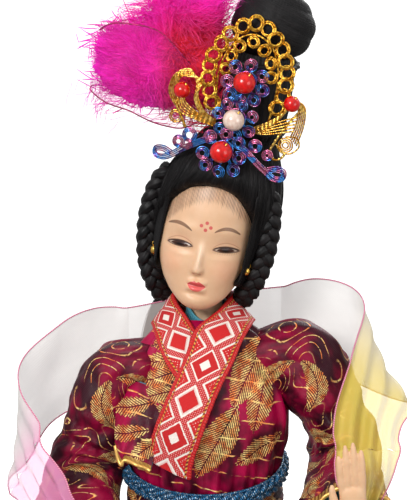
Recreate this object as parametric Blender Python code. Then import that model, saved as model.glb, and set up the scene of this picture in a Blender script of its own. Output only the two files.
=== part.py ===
"""Costumed court-lady puppet on a wooden stand, facing -Y, with jointed neck, shoulders, elbows and wrists.

Lengths here are millimetres and become metres when a mesh is made.
The origin is the middle of the stand's underside, and +Z is up.
"""

import math

import bmesh
import bpy
from mathutils import Matrix, Vector
from mathutils.bvhtree import BVHTree

MM = 0.001

# ---- Driving dimensions ----
GAP = 0.4  # between pieces that touch
CLOTH = 1.4  # brocade with its lining

FELT_THICKNESS = 1.5
BASE_SIDE = 100.0
BASE_HEIGHT = 12.0
BASE_CORNER = 14.0
BASE_BOTTOM = FELT_THICKNESS + GAP
BASE_TOP = BASE_BOTTOM + BASE_HEIGHT

POST_RADIUS = 3.0
POST_BOTTOM = 6.5
POST_TOP = 178.0
SCREW_RADIUS = 1.2
SCREW_TOP = 18.0

HEM_Z = BASE_TOP + GAP
WAIST_Z = 168.0
WAIST_SLOPE = 0.3  # the waist line sinks towards the front

NECK_PIVOT = Vector((0.6, 4.0, 223.0))
HEAD_TURN = math.radians(-11.0)  # about +Z
HEAD_LEAN = math.radians(11.5)  # towards +X
HEAD_BOW = math.radians(5.0)  # towards -Y
NECK_BALL = 4.0
NECK_RADIUS = 4.5

ARM_RADIUS = 2.6
PIN_RADIUS = 0.9
TONGUE = 1.1  # half its thickness
WRIST_PEG = 1.2

BEAD_RADIUS = 3.0
SHAWL_WIDTH = 26.0
SHAWL_THICKNESS = 0.8

ARMS = {
    "left": {
        "shoulder": Vector((21.5, 1.0, 202.0)),
        "elbow": Vector((42.0, 4.0, 170.0)),
        "wrist": Vector((39.5, -34.0, 160.0)),
        "fingers": Vector((-0.09, -0.12, 1.0)),
    },
    "right": {
        "shoulder": Vector((-21.5, 1.0, 200.0)),
        "elbow": Vector((-37.5, 4.0, 166.0)),
        "wrist": Vector((-34.0, -28.0, 150.0)),
        "fingers": Vector((0.12, -0.75, -0.65)),
    },
}

FINISHES = {
    "lacquer": ((0.10, 0.02, 0.02), 0.25, 0.0),
    "felt": ((0.03, 0.08, 0.05), 0.95, 0.0),
    "wood": ((0.45, 0.30, 0.16), 0.7, 0.0),
    "foam": ((0.80, 0.78, 0.72), 0.9, 0.0),
    "steel": ((0.60, 0.60, 0.62), 0.3, 1.0),
    "brocade": ((0.55, 0.02, 0.16), 0.45, 0.0),
    "trim": ((0.80, 0.06, 0.05), 0.7, 0.0),
    "teal": ((0.05, 0.35, 0.42), 0.5, 0.0),
    "skin": ((0.80, 0.60, 0.42), 0.45, 0.0),
    "eye": ((0.05, 0.02, 0.01), 0.1, 0.0),
    "hair": ((0.015, 0.013, 0.014), 0.6, 0.0),
    "feather": ((0.70, 0.03, 0.30), 0.9, 0.0),
    "organza": ((0.85, 0.80, 0.70), 0.4, 0.0),
    "gold": ((0.80, 0.55, 0.12), 0.25, 1.0),
    "iris": ((0.25, 0.15, 0.45), 0.3, 1.0),
    "bead": ((0.75, 0.02, 0.01), 0.15, 0.0),
    "pearl": ((0.90, 0.78, 0.70), 0.2, 0.0),
}


# ---- Making objects ----
def clear_scene():
    for obj in list(bpy.data.objects):
        bpy.data.objects.remove(obj)


def finish_named(name):
    found = bpy.data.materials.get(name)
    if found:
        return found
    made = bpy.data.materials.new(name)
    made.use_nodes = True
    shader = made.node_tree.nodes["Principled BSDF"]
    colour, roughness, metallic = FINISHES[name]
    shader.inputs["Base Color"].default_value = (*colour, 1.0)
    shader.inputs["Roughness"].default_value = roughness
    shader.inputs["Metallic"].default_value = metallic
    return made


def solid(name, points, faces, finish, place=None):
    """A closed mesh from points in millimetres, with its faces turned outwards, placed by a matrix in millimetres."""
    mesh = bpy.data.meshes.new(name)
    mesh.from_pydata([Vector(p) * MM for p in points], [], faces)
    shape = bmesh.new()
    shape.from_mesh(mesh)
    bmesh.ops.recalc_face_normals(shape, faces=shape.faces)
    shape.to_mesh(mesh)
    shape.free()
    mesh.shade_smooth()
    mesh.set_sharp_from_angle(angle=math.radians(40))
    mesh.materials.append(finish_named(finish))
    obj = bpy.data.objects.new(name, mesh)
    bpy.context.scene.collection.objects.link(obj)
    if place is not None:
        metres = place.copy()
        metres.translation = place.translation * MM
        obj.matrix_world = metres
    return obj


def helper(obj):
    obj.hide_render = True
    obj.display_type = "WIRE"
    return obj


def combine(obj, others, operation):
    """Adds a Boolean for each other object, which becomes a helper."""
    for other in others:
        helper(other)
        modifier = obj.modifiers.new(other.name, "BOOLEAN")
        modifier.operation = operation
        modifier.solver = "EXACT"
        modifier.object = other
    return obj


def cut(obj, *others):
    return combine(obj, others, "DIFFERENCE")


def join(obj, *others):
    return combine(obj, others, "UNION")


# ---- Shapes as points and faces ----
def bands(count, size, closed_ring=True, start=0):
    """Four-sided faces that join each ring of points to the next one."""
    faces = []
    steps = size if closed_ring else size - 1
    for k in range(count - 1):
        low, high = start + k * size, start + (k + 1) * size
        for i in range(steps):
            j = (i + 1) % size
            faces.append((low + i, low + j, high + j, high + i))
    return faces


def loft(name, rings, finish, place=None):
    """A closed solid through rings of points, with a fan over each end."""
    size = len(rings[0])
    points = [p for ring in rings for p in ring]
    faces = bands(len(rings), size)
    for ring, first in ((rings[0], 0), (rings[-1], (len(rings) - 1) * size)):
        points.append(sum((Vector(p) for p in ring), Vector()) / size)
        middle = len(points) - 1
        faces += [(first + i, first + (i + 1) % size, middle) for i in range(size)]
    return solid(name, points, faces, finish, place)


def wall(name, outer, inner, finish, place=None):
    """A wall between an outer and an inner stack of rings, open at both ends."""
    size, count = len(outer[0]), len(outer)
    points = [p for ring in outer + inner for p in ring]
    start = size * count
    faces = bands(count, size) + bands(count, size, start=start)
    for k in (0, count - 1):
        for i in range(size):
            j = (i + 1) % size
            faces.append((k * size + i, k * size + j, start + k * size + j, start + k * size + i))
    return solid(name, points, faces, finish, place)


def oval(z, half_width, front, back, count, inset=0.0, slope=0.0, folds=0, depth=0.0):
    """A level ring round the Z axis, whose front and back halves differ. slope raises it towards +Y."""
    ring = []
    for i in range(count):
        angle = 2 * math.pi * i / count
        across, along = math.cos(angle), math.sin(angle)
        wave = depth * math.cos(folds * angle)
        reach = (back if along > 0 else front) - inset + wave
        y = reach * along
        ring.append((across * (half_width - inset + wave), y, z + slope * y))
    return ring


def hoop(centre, normal, half_wide, half_tall, count, drop=0.0):
    """A ring square to normal, which is never upright. Its lower half reaches further by drop."""
    normal = Vector(normal).normalized()
    wide = Vector((0, 0, 1)).cross(normal).normalized()
    tall = normal.cross(wide).normalized()
    if tall.z < 0:
        wide, tall = -wide, -tall
    ring = []
    for i in range(count):
        angle = 2 * math.pi * i / count
        reach = half_tall + (drop if math.sin(angle) < 0 else 0.0)
        ring.append(Vector(centre) + wide * half_wide * math.cos(angle) + tall * reach * math.sin(angle))
    return ring


def smooth_path(points, steps):
    """A curve through the points, with that many steps between each two."""
    points = [Vector(p) for p in points]
    ends = [2 * points[0] - points[1], *points, 2 * points[-1] - points[-2]]
    path = []
    for k in range(1, len(ends) - 2):
        a, b, c, d = ends[k - 1 : k + 3]
        for i in range(steps):
            t = i / steps
            path.append(
                0.5 * (2 * b + (c - a) * t + (2 * a - 5 * b + 4 * c - d) * t**2 + (3 * b - a - 3 * c + d) * t**3)
            )
    path.append(points[-1])
    return path


def tube(name, path, radii, sides, finish, place=None, flat=1.0):
    """A round bar along a path; flat below 1 thins it across."""
    rings = []
    across = Vector((1, 0, 0))
    for k, point in enumerate(path):
        ahead = (path[min(k + 1, len(path) - 1)] - path[max(k - 1, 0)]).normalized()
        across = (across - ahead * across.dot(ahead)).normalized()
        deep = ahead.cross(across) * flat
        turns = [2 * math.pi * i / sides for i in range(sides)]
        rings.append([point + radii[k] * (across * math.cos(t) + deep * math.sin(t)) for t in turns])
    return loft(name, rings, finish, place)


def strip(name, lines, thickness, finish, place=None, lifts=None):
    """A band of cloth through two or more lines along it, thickened evenly about its middle surface.

    lifts holds an optional outward direction for each row.
    """
    rows = []
    last = len(lines[0]) - 1
    for k, row in enumerate(zip(*lines)):
        low, high = max(k - 1, 0), min(k + 1, last)
        along = (lines[0][high] + lines[-1][high]) - (lines[0][low] + lines[-1][low])
        lift = (row[-1] - row[0]).cross(along).normalized() * thickness / 2
        if lifts:
            lift = lifts[k].normalized() * thickness / 2
        rows.append([p + lift for p in row] + [p - lift for p in reversed(row)])
    return loft(name, rows, finish, place)


def turned(name, profile, count, finish, place=None):
    """A solid of revolution round local Z from (radius, z) pairs, bottom to top."""
    rings = []
    for radius, z in profile:
        angles = [2 * math.pi * i / count for i in range(count)]
        rings.append([(radius * math.cos(a), radius * math.sin(a), z) for a in angles])
    return loft(name, rings, finish, place)


def ball(name, radius, finish, place, count=12, levels=6, squash=(1.0, 1.0, 1.0)):
    profile = []
    for k in range(1, levels):
        angle = math.pi * k / levels
        profile.append((radius * math.sin(angle), -radius * math.cos(angle)))
    rings = []
    for r, z in profile:
        angles = [2 * math.pi * i / count for i in range(count)]
        rings.append([(r * math.cos(a) * squash[0], r * math.sin(a) * squash[1], z * squash[2]) for a in angles])
    points = [p for ring in rings for p in ring]
    faces = bands(len(rings), count)
    points += [(0, 0, -radius * squash[2]), (0, 0, radius * squash[2])]
    top = (len(rings) - 1) * count
    for i in range(count):
        j = (i + 1) % count
        faces += [(i, j, len(points) - 2), (top + i, top + j, len(points) - 1)]
    return solid(name, points, faces, finish, place)


def at(*place):
    return Matrix.Translation(Vector(place))


def bar_place(start, end):
    """A matrix that puts local Z along the line from start to end."""
    turn = (Vector(end) - Vector(start)).to_track_quat("Z", "X").to_matrix().to_4x4()
    return Matrix.Translation(Vector(start)) @ turn


def bar(name, start, end, radius, finish, count=14, place=None):
    length = (Vector(end) - Vector(start)).length
    matrix = bar_place(start, end)
    if place is not None:
        matrix = place @ matrix
    return turned(name, [(radius, 0), (radius, length)], count, finish, matrix)


# ---- The stand ----
def rounded_square(side, corner, z, per_corner=5):
    ring = []
    middle = side / 2 - corner
    for quarter in range(4):
        for i in range(per_corner):
            angle = math.pi / 2 * (quarter + i / (per_corner - 1))
            corner_x = middle * (1 if quarter in (0, 3) else -1)
            corner_y = middle * (1 if quarter in (0, 1) else -1)
            ring.append((corner_x + corner * math.cos(angle), corner_y + corner * math.sin(angle), z))
    return ring


def make_stand():
    inset = 1.5
    felt_side = BASE_SIDE - 2 * inset
    felt = [rounded_square(felt_side, BASE_CORNER - inset, z) for z in (0, FELT_THICKNESS)]
    loft("base_felt", felt, "felt")

    step, round_over = 2.5, 1.2
    outline = [
        (BASE_SIDE, BASE_BOTTOM),
        (BASE_SIDE, BASE_TOP - 5),
        (BASE_SIDE - 2 * step, BASE_TOP - 3.5),
        (BASE_SIDE - 2 * step, BASE_TOP - round_over),
        (BASE_SIDE - 2 * (step + round_over), BASE_TOP),
    ]
    rings = [rounded_square(side, BASE_CORNER - (BASE_SIDE - side) / 2, z) for side, z in outline]
    base = loft("stand_base", rings, "lacquer")
    socket = bar("base_socket", (0, 0, POST_BOTTOM - 0.3), (0, 0, BASE_TOP + 5), POST_RADIUS + 0.3, "steel")
    head_room = bar("screw_room", (0, 0, 0), (0, 0, 4.2), 3.2, "steel")
    shank_room = bar("shank_room", (0, 0, 1), (0, 0, POST_BOTTOM + 1), SCREW_RADIUS + 0.3, "steel")
    cut(base, socket, head_room, shank_room)

    profile = [(2.8, BASE_BOTTOM + 0.3), (2.8, 3.6), (SCREW_RADIUS, 3.9), (SCREW_RADIUS, SCREW_TOP - 2), (0.3, SCREW_TOP)]
    turned("post_screw", profile, 14, "steel")

    post = bar("stand_post", (0, 0, POST_BOTTOM), (0, 0, POST_TOP), POST_RADIUS, "wood", 16)
    cut(post, bar("pilot_hole", (0, 0, 0), (0, 0, SCREW_TOP + 1), SCREW_RADIUS + 0.3, "steel"))


# ---- Body and robe ----
BODY_RINGS = 24
CORE_PROFILE = [  # z, half width, front, back
    (152, 13, 10, 10),
    (160, 13.5, 11, 10.5),
    (172, 15, 13, 12),
    (186, 16, 14, 13),
    (197, 15, 12, 13),
    (203, 12, 8, 12),
    (207, 7, 4, 11),
]
BODICE_PROFILE = [  # z, half width, front, back, slope
    (WAIST_Z + 1.5, 19.5, 17.5, 15, WAIST_SLOPE),
    (177, 21.5, 20, 16.5, 0.18),
    (186, 22.3, 21, 17.5, 0.06),
    (194, 20.6, 18.5, 17, 0),
    (201, 18.0, 14.5, 16, 0),
    (206, 15.5, 11, 15, 0),
    (209.2, 12.0, 7.5, 13.4, 0),
    (211.0, 9.4, 5.0, 12.4, 0),
]
SKIRT_PROFILE = [  # z, half width, half depth, slope, fold depth
    (HEM_Z, 47.5, 44, 0, 2.2),
    (60, 39.2, 36, 0, 1.7),
    (110, 29, 26, 0, 0.9),
    (145, 21.6, 19, 0.15, 0.3),
    (158, 19.4, 16.6, WAIST_SLOPE, 0),
    (WAIST_Z, 18.8, 15.9, WAIST_SLOPE, 0),
]
SKIRT_FOLDS = 12


def make_torso():
    core = loft("torso_core", [oval(z, w, f, b, 20) for z, w, f, b in CORE_PROFILE], "wood")
    post_bore = bar("post_bore", (0, 0, 140), (0, 0, POST_TOP + 0.5), POST_RADIUS + 0.3, "steel")
    x, y, _ = NECK_PIVOT
    neck_bore = bar("neck_bore", (x, y, 189), (x, y, 215), 2.9, "steel")
    bores = [post_bore, neck_bore]
    for side, arm in ARMS.items():
        outward = math.copysign(1, arm["shoulder"].x)
        start = Vector((outward * 10.0, arm["shoulder"].y, arm["shoulder"].z))
        bores.append(bar(f"{side}_bore", start, arm["shoulder"] + Vector((outward * 5, 0, 0)), 2.9, "steel"))
    cut(core, *bores)

    form_rings = [(HEM_Z, 42.3, 38.8), (66, 34.2, 31), (110, 25.5, 22.8), (147, 17.8, 15.4), (151.3, 17, 14.6)]
    form = loft("skirt_form", [oval(z, w, d, d, 24) for z, w, d in form_rings], "foam")
    cut(form, bar("form_bore", (0, 0, 0), (0, 0, 200), POST_RADIUS + 0.3, "steel"))


def make_robe():
    """Returns the bodice's outer surface, on which the collar bands lie."""
    count = 28
    outer = [oval(z, w, f, b, count, 0, s) for z, w, f, b, s in BODICE_PROFILE]
    inner = [oval(z, w, f, b, count, CLOTH, s) for z, w, f, b, s in BODICE_PROFILE]
    bodice = wall("robe_bodice", outer, inner, "brocade")
    for side, arm in ARMS.items():
        near = Vector((arm["shoulder"].x * 0.6, arm["shoulder"].y, arm["shoulder"].z))
        far = Vector((arm["shoulder"].x * 1.4, arm["shoulder"].y, arm["shoulder"].z))
        cut(bodice, bar(f"{side}_armhole", near, far, 4.0, "steel"))

    count = 3 * SKIRT_FOLDS
    outer = [oval(z, w, d, d, count, 0, s, SKIRT_FOLDS, fold) for z, w, d, s, fold in SKIRT_PROFILE]
    inner = [oval(z, w, d, d, count, CLOTH, s, SKIRT_FOLDS, fold) for z, w, d, s, fold in SKIRT_PROFILE]
    wall("robe_skirt", outer, inner, "brocade")

    count = 28
    sash = [(WAIST_Z - 9.5, 19.5, 16.8), (WAIST_Z - 4, 19.2, 16.4), (WAIST_Z - 0.6, 19.1, 16.2)]
    thick = 1.3
    outer = [oval(z, w + thick + GAP, d + thick + GAP, d + thick + GAP, count, 0, WAIST_SLOPE) for z, w, d in sash]
    inner = [oval(z, w + GAP, d + GAP, d + GAP, count, 0, WAIST_SLOPE) for z, w, d in sash]
    wall("waist_sash", outer, inner, "brocade")

    cord = 1.5
    rings = []
    for i in range(32):
        angle = 2 * math.pi * i / 32
        reach = 17.4 if math.sin(angle) > 0 else 19.8
        out = Vector((math.cos(angle), math.sin(angle), 0))
        middle = Vector((21.8 * out.x, reach * out.y, WAIST_Z + 1.8))
        middle.z += WAIST_SLOPE * middle.y
        turns = [2 * math.pi * k / 6 for k in range(6)]
        rings.append([middle + cord * (out * math.cos(t) + Vector((0, 0, 1)) * math.sin(t)) for t in turns])
    points = [p for ring in rings for p in ring]
    faces = bands(32, 6) + [
        (31 * 6 + i, 31 * 6 + (i + 1) % 6, (i + 1) % 6, i) for i in range(6)
    ]
    solid("waist_braid", points, faces, "teal")

    rings = [oval(z, w, f, b, 36, 0, s) for z, w, f, b, s in BODICE_PROFILE]
    return BVHTree.FromPolygons([Vector(p) for ring in rings for p in ring], bands(len(rings), 36))


# Rows of a collar band: the edge away from the neck, the edge by the neck, and whether it lies on the bodice.
COLLAR_OVER = [
    ((0.4, 15.4, 208.5), (0.4, 12.6, 216.6), False),
    ((8.6, 12.4, 208.8), (5.4, 10.0, 216.8), False),
    ((13.2, 5.0, 209.8), (7.9, 4.2, 216.9), False),
    ((12.8, -2.4, 210.4), (6.2, -2.0, 215.4), False),
    ((9.6, -11.0, 206.5), (1.4, -7.4, 211.6), True),
    ((7.1, -15.5, 201.4), (-2.2, -10.5, 208.2), True),
    ((4.1, -18.5, 196.0), (-4.8, -15.5, 202.8), True),
    ((1.8, -20.0, 190.9), (-7.6, -18.5, 196.9), True),
    ((-0.5, -20.5, 184.7), (-10.1, -19.5, 190.8), True),
    ((-2.9, -19.0, 176.8), (-12.4, -18.5, 183.6), True),
    ((-3.6, -18.5, 171.6), (-13.9, -16.0, 176.4), True),
]
COLLAR_UNDER = [
    ((-0.4, 15.4, 208.5), (-0.4, 12.6, 216.6), False),
    ((-9.6, 12.0, 208.8), (-6.6, 9.8, 216.8), False),
    ((-14.2, 4.6, 209.3), (-8.9, 4.0, 216.9), False),
    ((-14.0, -1.6, 208.8), (-7.8, -1.4, 214.6), False),
    ((-12.8, -7.6, 206.4), (-5.3, -5.4, 211.9), False),
    ((-11.0, -12.0, 202.4), (-2.4, -10.5, 208.2), True),
    ((-9.0, -14.5, 199.4), (0.5, -12.0, 204.8), True),
    ((-6.0, -16.5, 195.6), (3.0, -14.5, 201.0), True),
]


def make_collar(name, rows, surface, above):
    """A ribbon band of two edge lines; rows that lie on the robe are lifted off it by above."""
    lines, lifts = [[], [], []], []
    for outer, inner, on_robe in rows:
        outer, inner = Vector(outer), Vector(inner)
        row = [outer, (outer + inner) / 2, inner]
        normal = row[1] - Vector((NECK_PIVOT.x, NECK_PIVOT.y, 205))
        normal.z = abs(normal.z) * 0.6 + 2.0
        if on_robe:
            found = [surface.find_nearest(p) for p in row]
            outward = [hit[1] if hit[1].dot(hit[0] - Vector((0, 0, hit[0].z))) > 0 else -hit[1] for hit in found]
            row = [hit[0] + out * above for hit, out in zip(found, outward)]
            normal = outward[1]
        for line, point in zip(lines, row):
            line.append(point)
        lifts.append(normal)
    strip(name, [smooth_path(line, 2) for line in lines], 0.8, "trim", lifts=smooth_path(lifts, 2))


def make_inner_collar():
    x, y, _ = NECK_PIVOT
    count = 20

    def ring(radius, low):
        points = []
        for i in range(count):
            angle = 2 * math.pi * i / count
            dip = 3.6 * max(0.0, -math.sin(angle)) ** 3
            z = 208.2 if low else 214.6 - dip
            points.append((x + radius * math.cos(angle), y + radius * math.sin(angle), z))
        return points

    wall("inner_collar", [ring(5.8, True), ring(5.7, False)], [ring(5.1, True), ring(5.0, False)], "teal")


# ---- Neck and head ----
HEAD_PLACE = (
    Matrix.Translation(NECK_PIVOT)
    @ Matrix.Rotation(HEAD_TURN, 4, "Z")
    @ Matrix.Rotation(HEAD_LEAN, 4, "Y")
    @ Matrix.Rotation(HEAD_BOW, 4, "X")
)
SKULL_PROFILE = [  # z above the neck pivot, half width, front, back
    (-6.6, 2.2, 13.0, -8.5),
    (-5.2, 4.6, 14.2, -3.5),
    (-2.2, 7.2, 14.7, 3.0),
    (2, 9.5, 15.0, 8.5),
    (7, 11.3, 15.2, 11.8),
    (13, 12.4, 15.2, 14),
    (19, 12.7, 14.8, 15),
    (25, 11.9, 13.2, 14.3),
    (30, 9.6, 10.4, 11.8),
    (33.5, 5.8, 6.0, 8.0),
    (35, 2.0, 1.5, 3.5),
]
HAIR_PROFILE = [
    (-1.5, 8.0, -1.0, 14.5),
    (2, 10.8, 4, 16.5),
    (7, 12.8, 9, 17.6),
    (13, 13.8, 13, 18.2),
    (19, 14.1, 16.4, 18.6),
    (25, 14.2, 17.2, 18.6),
    (30, 13.4, 15.8, 17),
    (34, 10.8, 12.6, 14),
    (37, 7.0, 8.2, 9.5),
    (38.4, 2.5, 3.0, 4.0),
]


def head_ring(z, half_width, front, back, count, grow=0.0):
    """A level ring of the skull, from its front at -Y to its back."""
    middle, reach = (back - front) / 2, (back + front) / 2
    ring = []
    for i in range(count):
        angle = 2 * math.pi * i / count
        ring.append((
            (half_width + grow) * math.cos(angle),
            middle + (reach + grow) * math.sin(angle),
            z * (1 + grow / 35),
        ))
    return ring


def make_neck():
    x, y, z = NECK_PIVOT
    profile = [(2.6, 190 - z), (2.6, 207.6 - z), (NECK_RADIUS, 207.7 - z), (NECK_RADIUS, -8), (2.4, -5.6), (2.4, -3.4)]
    neck = turned("neck", profile, 18, "skin", at(x, y, z))
    join(neck, ball("neck_ball", NECK_BALL, "skin", at(x, y, z), 14, 7))


def make_head():
    head = loft("head", [head_ring(*row, 24) for row in SKULL_PROFILE], "skin", HEAD_PLACE)
    nose = ball("nose", 1.0, "skin", HEAD_PLACE @ at(0, -15.0, 6.4), 10, 6, (1.5, 1.9, 4.4))
    join(head, nose)
    socket = ball("neck_socket", NECK_BALL + 0.5, "steel", HEAD_PLACE, 14, 7)
    mouth = turned("socket_mouth", [(8.6, -12), (3.5, -2.4)], 16, "steel", HEAD_PLACE)
    cut(head, socket, mouth)
    for side, sign in (("left", 1), ("right", -1)):
        place = HEAD_PLACE @ at(sign * 6.6, -12.7, 11.4) @ Matrix.Rotation(sign * math.radians(26), 4, "Z")
        cut(head, ball(f"{side}_eye_socket", 1.0, "eye", place, 12, 6, (2.7, 1.9, 1.3)))
        ball(f"{side}_eye", 1.0, "eye", place, 12, 6, (2.35, 1.5, 0.95))
        stud = HEAD_PLACE @ at(sign * 13.4, -5.6, 6.0)
        ball(f"{side}_earring", 1.1, "gold", stud, 10, 6)


def make_hair():
    cap = loft("hair_cap", [head_ring(*row, 24) for row in HAIR_PROFILE], "hair", HEAD_PLACE)
    room = loft("skull_room", [head_ring(*row, 24, 0.4) for row in SKULL_PROFILE], "hair", HEAD_PLACE)
    face = ball("face_opening", 1.0, "hair", HEAD_PLACE @ at(0, -21, 8.2), 20, 10, (17, 22, 19.8))
    jaw = ball("jaw_opening", 1.0, "hair", HEAD_PLACE @ at(0, -12, -6), 16, 8, (16, 15.5, 14))
    neck_room = turned("nape_room", [(8.6, -14), (6.4, 4)], 16, "hair", HEAD_PLACE)
    cut(cap, room, face, jaw, neck_room)

    stem = [(39.2, 8.4), (43, 9.4), (52, 9.4), (60.2, 8.0)]
    rings = [[(3.2 + r * math.cos(a), 3.4 + r * math.sin(a), z) for a in [math.pi / 9 * i for i in range(18)]] for z, r in stem]
    loft("topknot_stem", rings, "hair", HEAD_PLACE)
    ball("topknot_bun", 1.0, "hair", HEAD_PLACE @ at(4.8, 3, 70.2), 16, 8, (10.6, 10.0, 9.4))

    left = [(17.9, 2.5, 26), (18.2, 2, 18), (17.9, 1.5, 10), (16.8, 2, 3), (14.6, 3, -3), (12.6, 5.5, -5.4)]
    right = [(-17.9, 2.5, 26), (-18.9, 2, 18), (-19.2, 1.5, 9), (-18.0, 2, 0), (-15.6, 3, -6.6), (-13.2, 5.5, -9.4)]
    for side, line in (("left", left), ("right", right)):
        path = smooth_path(line, 2)
        radii = [3.5 - 0.6 * k / (len(path) - 1) for k in range(len(path))]
        tube(f"{side}_braid", path, radii, 8, "hair", HEAD_PLACE)

    tail = [(-4, 24.6, 220), (-9, 26.6, 214), (-12.5, 27.4, 204), (-13.5, 27.6, 190), (-13, 27, 172), (-12, 26, 150)]
    path = smooth_path(tail, 2)
    radii = [2.6, 3.6, 4.6, 5.0, 5.2, 5.2, 5.2, 5.0, 4.6, 4.0, 3.0]
    tube("hair_tail", path, radii, 10, "hair", flat=0.45)


# ---- Headdress, in the head's own axes ----
def make_rosette(name, radius, x, y, z, lobes=8):
    """A flat ring of wire loops, seen from the front."""
    count = lobes * 3
    half = 0.6

    def ring(reach, wave, depth):
        points = []
        for i in range(count):
            angle = 2 * math.pi * i / count
            r = reach + wave * math.cos(lobes * angle)
            points.append((x + r * math.cos(angle), y + depth, z + r * math.sin(angle)))
        return points

    outer = [ring(radius - 0.5, 0.5, half), ring(radius - 0.5, 0.5, -half)]
    inner = [ring(2.1, 0, half), ring(2.1, 0, -half)]
    wall(name, outer, inner, "iris", HEAD_PLACE)


def flat_band(name, line, width, thickness, finish):
    """A band in the head's X-Z plane along a line, width across and thickness along Y."""
    path = smooth_path(line, 2)
    rows = []
    for k, point in enumerate(path):
        ahead = path[min(k + 1, len(path) - 1)] - path[max(k - 1, 0)]
        across = Vector((0, 1, 0)).cross(ahead).normalized() * width / 2
        deep = Vector((0, thickness / 2, 0))
        rows.append([point + across + deep, point - across + deep, point - across - deep, point + across - deep])
    return loft(name, rows, finish, HEAD_PLACE)


def make_headdress():
    make_rosette("rosette_lower", 5.8, 0.8, -15.6, 38.0)
    make_rosette("rosette_middle", 4.6, 2.0, -12.4, 46.8)
    make_rosette("rosette_upper", 5.8, 2.8, -11.3, 57.2)
    stand_off = 3.4
    beads = [
        ("bead_lower", BEAD_RADIUS, (0.8, -15.6 - stand_off, 38.4), "bead"),
        ("pearl_middle", BEAD_RADIUS, (2.0, -12.4 - stand_off, 46.8), "pearl"),
        ("bead_upper", BEAD_RADIUS, (2.8, -11.3 - stand_off, 57.2), "bead"),
        ("bead_left_wing", 2.3, (15.9, -12.2, 53.3), "bead"),
        ("bead_right_wing", 2.3, (-13.7, -12.2, 50.6), "bead"),
    ]
    for name, radius, place, finish in beads:
        ball(name, radius, finish, HEAD_PLACE @ at(*place), 10, 6)

    y = -8.9
    arch = [(-5.6, y, 42), (-7.6, y, 50), (-8.2, y, 59), (-4.6, y, 67.4), (1.6, y, 71.4), (8.2, y, 68.6)]
    arch += [(12.0, y, 61), (12.8, y, 52), (11.4, y, 43)]
    flat_band("filigree_arch", arch, 3.0, 1.3, "gold")
    curve = [math.radians(a) for a in range(10, 171, 20)]
    inner = [(2.4 + 6.9 * math.cos(a), y, 58 + 7.4 * math.sin(a)) for a in curve]
    flat_band("filigree_inner", inner, 2.0, 1.2, "gold")

    for side, sign in (("left", 1), ("right", -1)):
        scroll = [(7.4, -14.6, 39.4), (10.0, -13.2, 39.0), (13.6, -10.4, 36.6), (17.6, -7.4, 32.6)]
        flat_band(f"{side}_brow_scroll", [(sign * px + (0 if sign > 0 else 1.4), py, pz) for px, py, pz in scroll], 2.4, 0.9, "iris")
        outline = [(7.6, 42.4), (9.4, 47), (12.8, 52.6), (17.8, 53.4), (19.6, 47.6), (18.6, 42.0), (16.4, 39.8), (12.4, 40.6)]
        rings = [[(1.4 + sign * px, -7.4 + dy, pz) for px, pz in outline] for dy in (0.5, -0.5)]
        loft(f"{side}_wing", rings, "gold", HEAD_PLACE)


def make_plumes():
    centre = [(-8, 0.4, 46), (-15, -2.6, 48.5), (-25, -5.6, 52.5), (-35, -5.6, 55), (-41, 0.4, 55.5)]
    centre += [(-35, 7.6, 55), (-23, 8.6, 53), (-9, 5.2, 49)]
    halves = [3.0, 7.0, 11.5, 12.5, 11.5, 12.5, 12, 4]
    low = smooth_path([Vector(c) - Vector((0, 0, h)) for c, h in zip(centre, halves)], 3)
    high = smooth_path([Vector(c) + Vector((0, 0, h)) for c, h in zip(centre, halves)], 3)
    strip("hair_ribbon", [low, high], SHAWL_THICKNESS, "organza", HEAD_PLACE)
    ball("feather_plume", 1.0, "feather", HEAD_PLACE @ at(-22.5, 1.2, 64), 14, 8, (10.6, 3.4, 17.5))


# ---- Arms ----
def arm_axes(arm):
    """Directions of the upper arm and forearm, and the elbow's hinge axis, about which the hand rises."""
    upper = (arm["elbow"] - arm["shoulder"]).normalized()
    fore = (arm["wrist"] - arm["elbow"]).normalized()
    return upper, fore, upper.cross(fore).normalized()


def along(place, axis_z, axis_x):
    """A matrix at place with local Z and X along the given directions."""
    z = axis_z.normalized()
    y = z.cross(axis_x).normalized()
    x = y.cross(z)
    turn = Matrix((x, y, z)).transposed().to_4x4()
    return Matrix.Translation(place) @ turn


def box(name, low, high, place):
    points = [(x, y, z) for z in (low[2], high[2]) for x, y in
              ((low[0], low[1]), (high[0], low[1]), (high[0], high[1]), (low[0], high[1]))]
    faces = bands(2, 4) + [(0, 1, 2, 3), (4, 5, 6, 7)]
    return solid(name, points, faces, "steel", place)


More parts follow.
